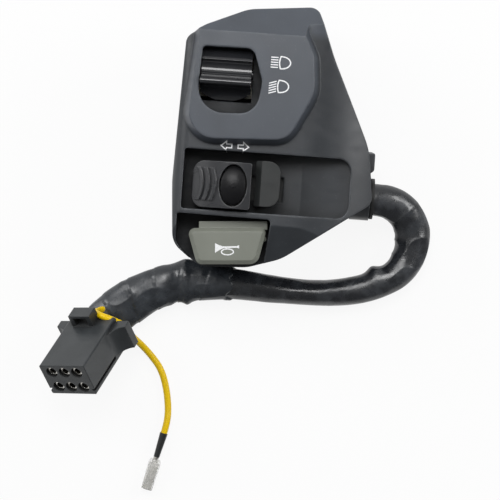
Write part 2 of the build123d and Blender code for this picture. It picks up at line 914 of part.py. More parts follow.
with BuildPart() as turn_knob:
    with BuildSketch(Plane.XY.offset(knob_base)):
        with BuildLine():
            FilletPolyline(
                (knob_left, knob_bottom),
                (knob_right, knob_bottom),
                (knob_right, knob_bottom + knob_height),
                (knob_left, knob_bottom + knob_height),
                radius=[
                    knob_left_corner,
                    knob_right_corner,
                    knob_right_corner,
                    knob_left_corner,
                ],
                close=True,
            )
        make_face()
    extrude(amount=ceiling - knob_base)
    with BuildSketch(Plane.XZ):
        with BuildLine():
            ThreePointArc(
                (knob_left, knob_left_top),
                (slider_x - knob_peak_reach, knob_peak),
                (knob_right, knob_right_top),
            )
            Polyline(
                (knob_right, knob_right_top),
                (knob_right, knob_base),
                (knob_left, knob_base),
                (knob_left, knob_left_top),
            )
        make_face()
    extrude(amount=housing_height, both=True, mode=Mode.INTERSECT)
    add(grip_ribs.part)
    with BuildSketch(Plane.XY.offset(well_bottom)):
        with Locations((slider_x, slider_y)):
            Ellipse(well_half_width, well_half_height)
    extrude(amount=ceiling - well_bottom, mode=Mode.SUBTRACT)
    with BuildSketch(Plane.XY.offset(knob_base)):
        with Locations((slider_x, slider_y)):
            Rectangle(stem_size, stem_size)
    extrude(amount=stem_top - knob_base, mode=Mode.SUBTRACT)
    with BuildSketch(Plane.XY.offset(knob_base)):
        with Locations((slider_x, slider_y)):
            Circle(stem_bore_radius)
    extrude(amount=well_bottom - knob_base, mode=Mode.SUBTRACT)
turn_knob.part.label = "turn_knob"
export_step(turn_knob.part, "parts/turn_knob.step")


# Pusher lug beside the knob, on the same carrier
lug_left = slider_x + 6.69
lug_right = slider_x + 14.29
lug_y = slider_y + 1.2
lug_height = 14.0
lug_top = 26.5
lug_left_corner = 0.6
lug_right_corner = 3.7
lug_facet = 1.8
lug_socket_top = 19.0
lug_stem_x = slider_x + lug_place

with BuildPart() as turn_lug:
    with BuildSketch(Plane.XY.offset(knob_base)):
        with BuildLine():
            FilletPolyline(
                (lug_left, lug_y - lug_height / 2),
                (lug_right, lug_y - lug_height / 2),
                (lug_right, lug_y + lug_height / 2),
                (lug_left, lug_y + lug_height / 2),
                radius=[
                    lug_left_corner,
                    lug_right_corner,
                    lug_right_corner,
                    lug_left_corner,
                ],
                close=True,
            )
        make_face()
    extrude(amount=lug_top - knob_base)
    with BuildSketch(Plane.XZ):
        with BuildLine():
            Polyline(
                (lug_left, knob_base),
                (lug_right, knob_base),
                (lug_right, lug_top),
                (lug_left + lug_facet, lug_top),
                (lug_left, lug_top - lug_facet),
                close=True,
            )
        make_face()
    extrude(amount=housing_height, both=True, mode=Mode.INTERSECT)
    with BuildSketch(Plane.XY.offset(knob_base)):
        with Locations((lug_stem_x, slider_y)):
            Rectangle(lug_stem_size, lug_stem_size)
    extrude(amount=lug_socket_top - knob_base, mode=Mode.SUBTRACT)
turn_lug.part.label = "turn_lug"
export_step(turn_lug.part, "parts/turn_lug.step")


# Carrier under the channel, with the stems, the wiper and the detent ball
carrier_left_reach = 9.5
carrier_right_reach = 18.6
carrier_bottom = carrier_top - carrier_thickness
wiper_reach = 6.6
wiper_x = slider_x - wiper_reach
boss_size = (5.0, 8.0)
boss_bottom = 10.3
ball_pocket_radius = ball_radius + press_gap
ball_pocket_depth = 3.4

with BuildPart() as turn_carrier:
    with BuildSketch(Plane.XY.offset(carrier_bottom)):
        with Locations((slider_x - carrier_left_reach, slider_y)):
            Rectangle(
                carrier_left_reach + carrier_right_reach,
                carrier_depth,
                align=(Align.MIN, Align.CENTER),
            )
    extrude(amount=carrier_thickness)
    with BuildSketch(Plane.XY.offset(carrier_top)):
        with Locations((slider_x, slider_y)):
            Rectangle(stem_size, stem_size)
    extrude(amount=stem_top - carrier_top)
    with BuildSketch(Plane.XY.offset(carrier_top)):
        with Locations((lug_stem_x, slider_y)):
            Rectangle(lug_stem_size, lug_stem_size)
    extrude(amount=lug_socket_top - carrier_top)
    with BuildSketch(Plane.XY.offset(boss_bottom)):
        with Locations((wiper_x, slider_y)):
            Rectangle(boss_size[0], boss_size[1])
    extrude(amount=carrier_bottom - boss_bottom)
    with BuildSketch(Plane.XY.offset(boss_bottom)):
        with Locations((slider_x, slider_y)):
            Circle(stem_bore_radius)
    extrude(amount=stem_top - boss_bottom, mode=Mode.SUBTRACT)
    with BuildSketch(Plane.XZ.offset(-ball_y)):
        with Locations((slider_x, ball_z)):
            Circle(ball_pocket_radius)
    extrude(amount=ball_pocket_depth, mode=Mode.SUBTRACT)
turn_carrier.part.label = "turn_carrier"
export_step(turn_carrier.part, "parts/turn_carrier.step")

with BuildPart() as turn_detent_ball:
    with Locations((slider_x, ball_y, ball_z)):
        Sphere(ball_radius)
turn_detent_ball.part.label = "turn_detent_ball"
export_step(turn_detent_ball.part, "parts/turn_detent_ball.step")

detent_coil_radius = 0.7
detent_coil_bore = 0.45

with BuildPart() as turn_detent_spring:
    with BuildSketch(Plane.XZ.offset(ball_pocket_depth - ball_y)):
        with Locations((slider_x, ball_z)):
            Circle(detent_coil_radius)
            Circle(detent_coil_bore, mode=Mode.SUBTRACT)
    extrude(amount=ball_radius - ball_pocket_depth)
turn_detent_spring.part.label = "turn_detent_spring"
export_step(turn_detent_spring.part, "parts/turn_detent_spring.step")


# Sprung wiper of the turn switch and its contact plate
turn_wiper_size = (4.0, 9.0)
turn_wiper_thickness = 0.4
turn_wiper_foot = 0.25
turn_foot_size = 1.0
turn_foot_reach = 3.2
turn_contact_pitch = 3.6
turn_plate_left = slider_x - 12.06
turn_plate_right = slider_x + 27.44
turn_plate_low = slider_y - 7.6
turn_plate_high = slider_y + 11.6
turn_plate_notch = (slider_x + 13.94, slider_y - 5.8)

with BuildPart() as turn_wiper:
    with BuildSketch(Plane.XY.offset(boss_bottom - turn_wiper_thickness)):
        with Locations((wiper_x, slider_y)):
            Rectangle(turn_wiper_size[0], turn_wiper_size[1])
    extrude(amount=turn_wiper_thickness)
    with BuildSketch(Plane.XY.offset(boss_bottom - turn_wiper_thickness)):
        for side in (-1, 1):
            with Locations((wiper_x, slider_y + side * turn_foot_reach)):
                Circle(turn_foot_size)
    extrude(amount=-turn_wiper_foot)
turn_wiper.part.label = "turn_wiper"
export_step(turn_wiper.part, "parts/turn_wiper.step")

turn_contact_places = [
    (wiper_x + column * turn_contact_pitch, slider_y + row * turn_foot_reach)
    for column, row in ((-1, -1), (0, 1), (1, -1))
]

with BuildPart() as turn_base_plate:
    with BuildSketch(Plane.XY.offset(turn_plate_top)):
        with BuildLine():
            Polyline(
                (turn_plate_left, turn_plate_low),
                (turn_plate_left, turn_plate_high),
                (turn_plate_right, turn_plate_high),
                (turn_plate_right, turn_plate_notch[1]),
                (turn_plate_notch[0], turn_plate_notch[1]),
                (turn_plate_notch[0], turn_plate_low),
                close=True,
            )
        make_face()
        with Locations(*turn_posts):
            Circle(post_screw_radius, mode=Mode.SUBTRACT)
        with Locations(*turn_contact_places):
            Circle(contact_stem_radius, mode=Mode.SUBTRACT)
    extrude(amount=-plate_thickness)
turn_base_plate.part.label = "turn_base_plate"
export_step(turn_base_plate.part, "parts/turn_base_plate.step")

with BuildPart() as turn_contacts:
    with BuildSketch(Plane.XY.offset(turn_plate_top)):
        with Locations(*turn_contact_places):
            Circle(contact_radius)
    extrude(amount=contact_rise)
    with BuildSketch(Plane.XY.offset(turn_plate_top)):
        with Locations(*turn_contact_places):
            Circle(contact_stem_radius)
    extrude(amount=-plate_thickness)
    with BuildSketch(Plane.XY.offset(turn_plate_top - plate_thickness)):
        with Locations(*turn_contact_places):
            Circle(contact_tail_radius)
    extrude(amount=-contact_tail)
turn_contacts.part.label = "turn_contacts"
export_step(turn_contacts.part, "parts/turn_contacts.step")


# Cancel button in the well of the slider
button_half_width = 3.7
button_half_height = 5.9
button_bottom = 24.4
button_top = 28.9
button_dome = 1.6
button_stem_radius = 1.6
button_stem_bottom = 10.9
button_dot_radius = 0.7
button_dot_rise = 0.25
clip_bottom = 11.5
clip_thickness = 0.5
clip_radius = 3.0
cancel_travel = 1.5
cancel_coil_radius = 2.6
cancel_coil_turns = 3
spring_wire = 0.3

with BuildPart() as cancel_button:
    with BuildSketch(Plane.XY.offset(button_bottom)):
        with Locations((slider_x, slider_y)):
            Ellipse(button_half_width, button_half_height)
    extrude(amount=button_top - button_bottom)
    dome_radius = (button_half_height**2 + button_dome**2) / (2 * button_dome)
    with Locations((slider_x, slider_y, button_top - dome_radius)):
        Sphere(dome_radius, mode=Mode.INTERSECT)
    with BuildSketch(Plane.XY.offset(button_stem_bottom)):
        with Locations((slider_x, slider_y)):
            Circle(button_stem_radius)
    extrude(amount=button_top - button_dome - button_stem_bottom)
    with BuildSketch(Plane.XY.offset(button_bottom)):
        with Locations((slider_x, slider_y)):
            Circle(button_dot_radius)
    extrude(amount=button_top + button_dot_rise - button_bottom)
cancel_button.part.label = "cancel_button"
export_step(cancel_button.part, "parts/cancel_button.step")

with BuildPart() as cancel_clip:
    with BuildSketch(Plane.XY.offset(clip_bottom)):
        with Locations((slider_x, slider_y)):
            Circle(clip_radius)
            Circle(button_stem_radius, mode=Mode.SUBTRACT)
    extrude(amount=clip_thickness)
cancel_clip.part.label = "cancel_clip"
export_step(cancel_clip.part, "parts/cancel_clip.step")


def coil_spring(x, y, low, high, coil_radius, turns, wire_radius):
    """Compression spring that stands between two levels."""
    span = high - low - 2 * wire_radius
    with BuildPart() as spring:
        with BuildLine():
            rise = Helix(span / turns, span, coil_radius, center=(x, y, low + wire_radius))
        with BuildSketch(Plane(origin=rise @ 0, z_dir=rise % 0)):
            Circle(wire_radius)
        sweep(path=rise, is_frenet=True)
    return spring


cancel_spring = coil_spring(
    slider_x,
    slider_y,
    well_bottom,
    button_bottom,
    cancel_coil_radius,
    cancel_coil_turns,
    spring_wire,
)
cancel_spring.part.label = "cancel_spring"
export_step(cancel_spring.part, "parts/cancel_spring.step")


# Horn button: a trapezoid face, a step behind it and a plunger below
horn_top_half = 12.4
horn_bottom_half = 9.3
horn_half_height = 5.6
horn_corner_low_left = 2.2
horn_corner_low_right = 3.2
horn_corner_high_right = 1.6
horn_corner_high_left = 2.0
horn_bottom_level = 19.0
horn_top_level = 25.5
horn_bevel = 1.2
step_left = -8.7
step_right = 12.4
step_low = 5.0
step_high = 7.7
step_top = 22.6
nub_place = (11.2, 2.2)
nub_radius = 0.9
nub_top = 22.5
plunger_bottom = 8.0
hook_bottom = 12.8
hook_thickness = 1.2
hook_reach = 1.1
hook_half = 2.4
spring_pocket_radius = 3.1
spring_pocket_top = 13.0
horn_coil_radius = 2.4
horn_coil_turns = 5
horn_plane = Plane(
    origin=(horn_x, horn_y, 0),
    x_dir=(cos(radians(horn_tilt)), sin(radians(horn_tilt)), 0),
    z_dir=(0, 0, 1),
)

with BuildPart() as horn_button:
    with BuildSketch(horn_plane.offset(horn_bottom_level)):
        with BuildLine():
            FilletPolyline(
                (-horn_bottom_half, -horn_half_height),
                (horn_bottom_half, -horn_half_height),
                (horn_top_half, horn_half_height),
                (-horn_top_half, horn_half_height),
                radius=[
                    horn_corner_low_left,
                    horn_corner_low_right,
                    horn_corner_high_right,
                    horn_corner_high_left,
                ],
                close=True,
            )
        make_face()
    extrude(amount=horn_top_level - horn_bottom_level)
    chamfer(horn_button.faces().sort_by(Axis.Z)[-1].edges(), horn_bevel)
    with BuildSketch(horn_plane.offset(horn_bottom_level)):
        with Locations((step_left, step_low)):
            Rectangle(
                step_right - step_left,
                step_high - step_low,
                align=(Align.MIN, Align.MIN),
            )
    extrude(amount=step_top - horn_bottom_level)
    with BuildSketch(horn_plane.offset(horn_bottom_level)):
        with Locations(nub_place):
            Circle(nub_radius)
    extrude(amount=nub_top - horn_bottom_level)
    with BuildSketch(horn_plane.offset(plunger_bottom)):
        Rectangle(plunger_width, plunger_height)
    extrude(amount=horn_bottom_level - plunger_bottom)
    with BuildSketch(horn_plane.offset(hook_bottom)):
        Rectangle(plunger_width + 2 * hook_reach, 2 * hook_half)
    extrude(amount=hook_thickness)
    with BuildSketch(horn_plane.offset(plunger_bottom)):
        Circle(spring_pocket_radius)
    extrude(amount=spring_pocket_top - plunger_bottom, mode=Mode.SUBTRACT)
horn_button.part.label = "horn_button"
export_step(horn_button.part, "parts/horn_button.step")

horn_spring = coil_spring(
    horn_x,
    horn_y,
    horn_plate_top,
    spring_pocket_top,
    horn_coil_radius,
    horn_coil_turns,
    spring_wire,
)
horn_spring.part.label = "horn_spring"
export_step(horn_spring.part, "parts/horn_spring.step")


# Brass bridge of the horn button and the plate with its two contacts
bridge_size = (12.0, 7.0)
bridge_thickness = 0.4
horn_contact_reach = 4.7
horn_plate_corners = [
    (horn_x - 13.5, horn_y + 7.0),
    (horn_x - 13.5, horn_y + 2.5),
    (horn_x - 7.0, horn_y - 2.8),
    (horn_x + 6.5, horn_y - 2.8),
    (horn_x + 13.3, horn_y - 0.6),
    (horn_x + 13.3, horn_y + 7.0),
]

with BuildPart() as horn_bridge:
    with BuildSketch(horn_plane.offset(plunger_bottom)):
        Rectangle(bridge_size[0], bridge_size[1])
        Circle(spring_pocket_radius, mode=Mode.SUBTRACT)
    extrude(amount=-bridge_thickness)
horn_bridge.part.label = "horn_bridge"
export_step(horn_bridge.part, "parts/horn_bridge.step")

with BuildPart() as horn_base_plate:
    with BuildSketch(Plane.XY.offset(horn_plate_top)):
        with BuildLine():
            Polyline(*horn_plate_corners, close=True)
        make_face()
        with Locations(*horn_posts):
            Circle(post_screw_radius, mode=Mode.SUBTRACT)
    extrude(amount=-plate_thickness)
    with BuildSketch(horn_plane.offset(horn_plate_top)):
        with Locations((-horn_contact_reach, 0), (horn_contact_reach, 0)):
            Circle(contact_stem_radius)
    extrude(amount=-plate_thickness, mode=Mode.SUBTRACT)
horn_base_plate.part.label = "horn_base_plate"
export_step(horn_base_plate.part, "parts/horn_base_plate.step")

with BuildPart() as horn_contacts:
    with BuildSketch(horn_plane.offset(horn_plate_top)):
        with Locations((-horn_contact_reach, 0), (horn_contact_reach, 0)):
            Circle(contact_radius)
    extrude(amount=contact_rise)
    with BuildSketch(horn_plane.offset(horn_plate_top)):
        with Locations((-horn_contact_reach, 0), (horn_contact_reach, 0)):
            Circle(contact_stem_radius)
    extrude(amount=-plate_thickness)
    with BuildSketch(horn_plane.offset(horn_plate_top - plate_thickness)):
        with Locations((-horn_contact_reach, 0), (horn_contact_reach, 0)):
            Circle(contact_tail_radius)
    extrude(amount=-contact_tail)
horn_contacts.part.label = "horn_contacts"
export_step(horn_contacts.part, "parts/horn_contacts.step")


# Harness: leads inside, grommet, sleeve, and the wires that leave the sleeve
bend_share = 0.45
lead_radius = 1.2
wire_radius = 0.95
yellow_radius = 1.1
grommet_bore = sleeve_radius
grommet_lip_radius = 6.6
grommet_lip = 1.3
sleeve_start = right_edge - 0.81
spout_end = spout_start + spout_length
grommet_start = spout_start + seat_gap
grommet_end = spout_end + grommet_lip


def loom_place(x, y, z):
    """A place on the harness, measured across the face from the mouth of its port."""
    return (right_edge + x, port_y + y, z)


def bend_radii(points):
    """Arc radius at each inner corner: it takes a share of the shorter run."""
    radii = []
    for before, here, after in zip(points, points[1:], points[2:]):
        first = [b - a for a, b in zip(before, here)]
        second = [b - a for a, b in zip(here, after)]
        first_run = hypot(*first)
        second_run = hypot(*second)
        along = sum(a * b for a, b in zip(first, second)) / (first_run * second_run)
        half_bend = atan2(sqrt(1 - along**2), 1 + along)
        radii.append(bend_share * min(first_run, second_run) / tan(half_bend))
    return radii


def route_length(points, radii):
    """Length of the runs and arcs of a route."""
    length = 0
    for start, end in zip(points, points[1:]):
        length += hypot(*[b - a for a, b in zip(start, end)])
    for before, here, after, radius in zip(points, points[1:], points[2:], radii):
        first = [b - a for a, b in zip(before, here)]
        second = [b - a for a, b in zip(here, after)]
        along = sum(a * b for a, b in zip(first, second)) / (hypot(*first) * hypot(*second))
        half_bend = atan2(sqrt(1 - along**2), 1 + along)
        length += 2 * radius * (half_bend - tan(half_bend))
    return length


def routed_tube(name, points, radius):
    """Round tube of straight runs joined by tangent arcs."""
    radii = bend_radii(points)
    with BuildPart() as tube:
        with BuildLine():
            route = FilletPolyline(*points, radius=radii)
        with BuildSketch(Plane(origin=route @ 0, z_dir=route % 0)):
            Circle(radius)
        sweep(path=route)
    section = pi * radius**2
    share = tube.part.volume / (section * route_length(points, radii))
    print(name, "radii", [round(bend, 1) for bend in radii], "volume share", round(share, 4))
    return tube


dimmer_lead_route = [
    (contact_plate_left + contact_plate_thickness, drum_y, drum_z + 1.2),
    (drum_right + 11.08, drum_y, drum_z + 1.2),
    (drum_right + 16.08, drum_y - 1.7, drum_z + 0.1),
    loom_place(-18.01, 24.8, 17.0),
    loom_place(-13.81, 16.8, 13.2),
    loom_place(-12.41, 11.0, 7.4),
    loom_place(-11.21, 6.0, 0.6),
    loom_place(-8.21, 1.4, -7.0),
    (sleeve_start, port_y + 1.4, -7.0),
]
turn_lead_route = [
    (slider_x + 15.44, slider_y + 1.4, turn_plate_top - plate_thickness),
    (slider_x + 15.44, slider_y + 1.4, 4.0),
    loom_place(-21.61, 0.4, 0.0),
    loom_place(-13.61, -0.8, -5.6),
    loom_place(-7.01, -1.4, -9.6),
    (sleeve_start, port_y - 1.4, -9.6),
]
horn_lead_route = [
    (horn_x + 7.0, horn_y + 2.0, horn_plate_top - plate_thickness),
    (horn_x + 7.0, horn_y + 2.0, -0.8),
    (horn_x + 9.6, horn_y + 6.6, -3.8),
    loom_place(-30.01, -6.4, -5.6),
    loom_place(-23.01, -3.0, -8.0),
    loom_place(-15.01, -1.0, -10.6),
    loom_place(-7.61, 1.5, -11.0),
    (sleeve_start, port_y + 1.5, -11.0),
]

with BuildPart() as inner_leads:
    add(routed_tube("dimmer lead", dimmer_lead_route, lead_radius).part)
    add(routed_tube("turn lead", turn_lead_route, lead_radius).part)
    add(routed_tube("horn lead", horn_lead_route, lead_radius).part)
inner_leads.part.label = "inner_leads"
export_step(inner_leads.part, "parts/inner_leads.step")

with BuildPart() as harness_grommet:
    with BuildSketch(x_plane(grommet_start, port_y, port_z)):
        Circle(grommet_radius)
    extrude(amount=grommet_end - grommet_start)
    with BuildSketch(x_plane(spout_end + seat_gap, port_y, port_z)):
        Circle(grommet_lip_radius)
    extrude(amount=grommet_lip - seat_gap)
    with BuildSketch(x_plane(grommet_start, port_y, port_z)):
        Circle(grommet_bore)
    extrude(amount=grommet_end - grommet_start, mode=Mode.SUBTRACT)
harness_grommet.part.label = "harness_grommet"
export_step(harness_grommet.part, "parts/harness_grommet.step")

floor_level = -front_depth
sleeve_z = floor_level + sleeve_radius
sleeve_route = [
    (sleeve_start, port_y, port_z),
    loom_place(4.59, 0, port_z),
    loom_place(9.79, -1.5, -10.3),
    loom_place(13.79, -5.4, -11.8),
    loom_place(15.99, -11.0, sleeve_z),
    loom_place(15.59, -17.3, sleeve_z),
    loom_place(12.59, -22.8, sleeve_z),
    loom_place(7.59, -26.8, sleeve_z),
    loom_place(1.29, -29.4, sleeve_z),
    loom_place(-7.01, -31.2, sleeve_z),
    loom_place(-16.01, -32.0, sleeve_z),
    loom_place(-26.01, -31.8, sleeve_z),
    loom_place(-36.51, -30.9, sleeve_z),
    loom_place(-47.51, -30.6, sleeve_z),
    loom_place(-57.61, -30.8, sleeve_z),
    loom_place(-65.61, -33.2, sleeve_z),
    loom_place(-70.01, -35.75, sleeve_z),
    loom_place(-74.11, -38.4, sleeve_z),
]

harness_sleeve = routed_tube("sleeve", sleeve_route, sleeve_radius)
harness_sleeve.part.label = "harness_sleeve"
export_step(harness_sleeve.part, "parts/harness_sleeve.step")


# Plug with six sockets, propped on its rear corner by the stiff wires
plug_width = 17.1
plug_height = 11.8
plug_depth = 19.6
plug_full_depth = 23.5
plug_front = loom_place(-91.57, -64.36, 7.0)
plug_heading = -116.7
plug_rise = 43.1
plug_roll = 42.3
plug_edge = 0.5
cavity_radius = 1.95
cavity_depth = 14.0
cavity_pitch = 4.73
cavity_row_pitch = 6.1
cavity_columns = 3
cavity_rows = 2
groove_low = -4.6
groove_high = -3.6
groove_depth = 0.8
wing_reach = 4.6
wing_start = 15.5
wing_level = 20.6
wing_half = 4.4
hood_x = -1.5
hood_half = 4.0
hood_rise = 4.2
hood_start = 19.0
hood_passage = (5.0, 2.8)
hood_passage_lift = 0.4
ahead = (
    cos(radians(plug_rise)) * cos(radians(plug_heading)),
    cos(radians(plug_rise)) * sin(radians(plug_heading)),
    sin(radians(plug_rise)),
)
level_side = (-sin(radians(plug_heading)), cos(radians(plug_heading)), 0)
level_up = (
    ahead[1] * level_side[2] - ahead[2] * level_side[1],
    ahead[2] * level_side[0] - ahead[0] * level_side[2],
    ahead[0] * level_side[1] - ahead[1] * level_side[0],
)
across = tuple(
    cos(radians(plug_roll)) * side + sin(radians(plug_roll)) * up
    for side, up in zip(level_side, level_up)
)
plug_plane = Plane(origin=plug_front, x_dir=across, z_dir=ahead)
plug_back = plug_plane.offset(-plug_full_depth)
plug_side = Plane(
    origin=plug_plane.origin,
    x_dir=plug_plane.x_dir,
    z_dir=plug_plane.y_dir,
)

with BuildPart() as connector_housing:
    with BuildSketch(plug_plane):
        RectangleRounded(plug_width, plug_height, plug_edge)
    extrude(amount=-plug_full_depth)
    for side in (-1, 1):
        with BuildSketch(plug_side.offset(-wing_half)):
            with BuildLine():
                flare = TangentArc(
                    (side * plug_width / 2, wing_start),
                    (side * (plug_width / 2 + wing_reach), wing_level),
                    tangent=(0, 1),
                )
                Polyline(
                    flare @ 1,
                    (side * (plug_width / 2 + wing_reach), plug_full_depth),
                    (side * (plug_width / 2 - plug_edge), plug_full_depth),
                    (side * (plug_width / 2 - plug_edge), wing_start),
                    (side * plug_width / 2, wing_start),
                )
            make_face()
        extrude(amount=2 * wing_half)
    with BuildSketch(plug_plane.offset(-hood_start)):
        with Locations((hood_x, plug_height / 2)):
            Rectangle(2 * hood_half, 2 * hood_rise)
    extrude(amount=hood_start - plug_full_depth)
    with BuildSketch(plug_plane.offset(-hood_start)):
        with Locations((hood_x, plug_height / 2 + hood_passage_lift)):
            Rectangle(hood_passage[0], hood_passage[1], align=(Align.CENTER, Align.MIN))
    extrude(amount=hood_start - plug_full_depth, mode=Mode.SUBTRACT)
    with BuildSketch(plug_plane):
        for side in (-1, 1):
            with Locations((side * plug_width / 2, (groove_low + groove_high) / 2)):
                Rectangle(2 * groove_depth, groove_high - groove_low)
    extrude(amount=-wing_start, mode=Mode.SUBTRACT)
    with BuildSketch(plug_plane):
        with GridLocations(cavity_pitch, cavity_row_pitch, cavity_columns, cavity_rows):
            Circle(cavity_radius)
    extrude(amount=-cavity_depth, mode=Mode.SUBTRACT)
connector_housing.part.label = "connector_housing"
export_step(connector_housing.part, "parts/connector_housing.step")

terminal_radius = 1.65
terminal_bore = 1.1
terminal_recess = 0.8

with BuildPart() as socket_terminals:
    with BuildSketch(plug_plane.offset(-cavity_depth)):
        with GridLocations(cavity_pitch, cavity_row_pitch, cavity_columns, cavity_rows):
            Circle(terminal_radius)
            Circle(terminal_bore, mode=Mode.SUBTRACT)
    extrude(amount=cavity_depth - terminal_recess)
socket_terminals.part.label = "socket_terminals"
export_step(socket_terminals.part, "parts/socket_terminals.step")


# Six wires from the sleeve's end to the back of the plug
sleeve_end = sleeve_route[-1]
sleeve_last = [b - a for a, b in zip(sleeve_route[-2], sleeve_end)]
sleeve_away = tuple(run / hypot(*sleeve_last) for run in sleeve_last)
bundle_plane = Plane(origin=sleeve_end, x_dir=(sleeve_away[1], -sleeve_away[0], 0), z_dir=sleeve_away)
plug_lead = 3.5
bundle_lead = 4.5
bundle_places = [
    (1.6, 3.1),
    (-1.4, 3.2),
    (-3.4, 1.2),
    (3.4, 0.9),
    (0.0, 0.2),
    (-3.0, -1.7),
]
plug_wire_places = [
    (column * cavity_pitch, row * cavity_row_pitch / 2)
    for row in (-1, 1)
    for column in (-1, 0, 1)
]


def plane_point(plane, x, y, lift):
    """A place above a plane as three numbers."""
    return tuple(plane.from_local_coords(Vector(x, y, lift)))


with BuildPart() as connector_wires:
    for (back_x, back_y), (end_x, end_y) in zip(plug_wire_places, bundle_places):
        wire_route = [
            plane_point(plug_back, back_x, back_y, 0),
            plane_point(plug_back, back_x, back_y, -plug_lead),
            plane_point(bundle_plane, end_x, end_y, bundle_lead),
            plane_point(bundle_plane, end_x, end_y, 0),
        ]
        add(routed_tube("plug wire", wire_route, wire_radius).part)
connector_wires.part.label = "connector_wires"
export_step(connector_wires.part, "parts/connector_wires.step")


# Single wire with a bullet terminal in a clear sleeve
floor_wire_z = floor_level + yellow_radius
yellow_place = (2.6, -2.2)
yellow_lead = 3.3
crimp_start = loom_place(-60.91, -81.3, -15.9)
crimp_lead = 3.4
bullet_heading = -103.4
bullet_axis = (cos(radians(bullet_heading)), sin(radians(bullet_heading)), 0)
crimp_plane = Plane(origin=crimp_start, x_dir=(0, 0, 1), z_dir=bullet_axis)
yellow_route = [
    plane_point(bundle_plane, yellow_place[0], yellow_place[1], 0),
    plane_point(bundle_plane, yellow_place[0], yellow_place[1], yellow_lead),
    loom_place(-81.01, -40.3, -9.7),
    loom_place(-82.51, -42.0, -7.2),
    loom_place(-82.01, -42.8, -4.6),
    loom_place(-79.21, -44.4, -4.0),
    loom_place(-76.21, -46.6, -6.2),
    loom_place(-73.41, -49.6, -10.6),
    loom_place(-70.61, -52.4, -14.6),
    loom_place(-67.21, -55.8, floor_wire_z),
    loom_place(-63.41, -60.2, floor_wire_z),
    loom_place(-61.21, -66.2, floor_wire_z),
    loom_place(-60.01, -73.2, floor_wire_z),
    plane_point(crimp_plane, 0, 0, -crimp_lead),
    crimp_start,
]

yellow_wire = routed_tube("yellow", yellow_route, yellow_radius)
yellow_wire.part.label = "yellow_wire"
export_step(yellow_wire.part, "parts/yellow_wire.step")

crimp_length = 8.2
crimp_radius = 1.3
crimp_end_radius = 0.95
bullet_length = 11.0
bullet_neck_radius = 0.9
bullet_neck = 2.2
bullet_radius = 1.45
bullet_bore = 0.9
bullet_bore_depth = 7.6
clear_radius = 2.1
clear_end_radius = 1.8
clear_lap = 1.4
clear_start_radius = 1.6

with BuildPart() as bullet_crimp:
    with BuildSketch(crimp_plane):
        Circle(crimp_radius)
    with BuildSketch(crimp_plane.offset(crimp_length)):
        Circle(crimp_end_radius)
    loft()
bullet_crimp.part.label = "bullet_crimp"
export_step(bullet_crimp.part, "parts/bullet_crimp.step")

with BuildPart() as bullet_terminal:
    with BuildSketch(crimp_plane.offset(crimp_length)):
        Circle(bullet_neck_radius)
    extrude(amount=bullet_neck)
    with BuildSketch(crimp_plane.offset(crimp_length + bullet_neck)):
        Circle(bullet_radius)
    extrude(amount=bullet_length - bullet_neck)
    with BuildSketch(crimp_plane.offset(crimp_length + bullet_length)):
        Circle(bullet_bore)
    extrude(amount=-bullet_bore_depth, mode=Mode.SUBTRACT)
bullet_terminal.part.label = "bullet_terminal"
export_step(bullet_terminal.part, "parts/bullet_terminal.step")

with BuildPart() as bullet_sleeve:
    with BuildSketch(crimp_plane.offset(crimp_length + bullet_neck - clear_lap)):
        Circle(clear_start_radius)
    with BuildSketch(crimp_plane.offset(crimp_length + bullet_neck)):
        Circle(clear_radius)
    loft()
    with BuildSketch(crimp_plane.offset(crimp_length + bullet_neck)):
        Circle(clear_radius)
    with BuildSketch(crimp_plane.offset(crimp_length + bullet_length)):
        Circle(clear_end_radius)
    loft()
    with BuildSketch(crimp_plane.offset(crimp_length + bullet_neck)):
        Circle(bullet_radius)
    extrude(amount=bullet_length - bullet_neck, mode=Mode.SUBTRACT)
    with BuildSketch(crimp_plane.offset(crimp_length)):
        Circle(bullet_neck_radius)
    extrude(amount=bullet_neck, mode=Mode.SUBTRACT)
bullet_sleeve.part.label = "bullet_sleeve"
export_step(bullet_sleeve.part, "parts/bullet_sleeve.step")
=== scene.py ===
"""Left handlebar switch cluster, dressed for a plain studio picture.

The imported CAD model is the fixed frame: it comes in first, and every new piece
is worked out in the same frame, in metres. Sizes in the classes are millimetres,
as in the part's source, and MM turns them into metres.
"""
import logging
from dataclasses import dataclass, field
from enum import Enum

import bpy
import numpy as np
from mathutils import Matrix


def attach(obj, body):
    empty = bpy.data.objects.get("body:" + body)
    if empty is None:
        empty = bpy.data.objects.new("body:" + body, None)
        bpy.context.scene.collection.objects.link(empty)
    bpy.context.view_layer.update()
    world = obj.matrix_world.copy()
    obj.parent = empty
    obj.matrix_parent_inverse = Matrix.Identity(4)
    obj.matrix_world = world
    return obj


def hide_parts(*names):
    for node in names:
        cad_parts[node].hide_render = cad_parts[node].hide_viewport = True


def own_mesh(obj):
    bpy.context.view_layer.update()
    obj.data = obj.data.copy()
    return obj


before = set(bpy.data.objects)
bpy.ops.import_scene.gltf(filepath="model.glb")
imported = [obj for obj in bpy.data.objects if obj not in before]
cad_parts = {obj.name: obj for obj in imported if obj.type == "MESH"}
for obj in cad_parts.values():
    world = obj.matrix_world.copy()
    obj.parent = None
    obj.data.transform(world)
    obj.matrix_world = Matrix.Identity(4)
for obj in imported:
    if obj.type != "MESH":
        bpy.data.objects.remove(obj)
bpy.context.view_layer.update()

MM = 0.001
FLOOR_LEVEL = -18.0
Colour = tuple[float, float, float, float]
Triple = tuple[float, float, float]
Material = bpy.types.Material
Piece = bpy.types.Object
Socket = bpy.types.NodeSocket

log = logging.getLogger("switch_cluster")


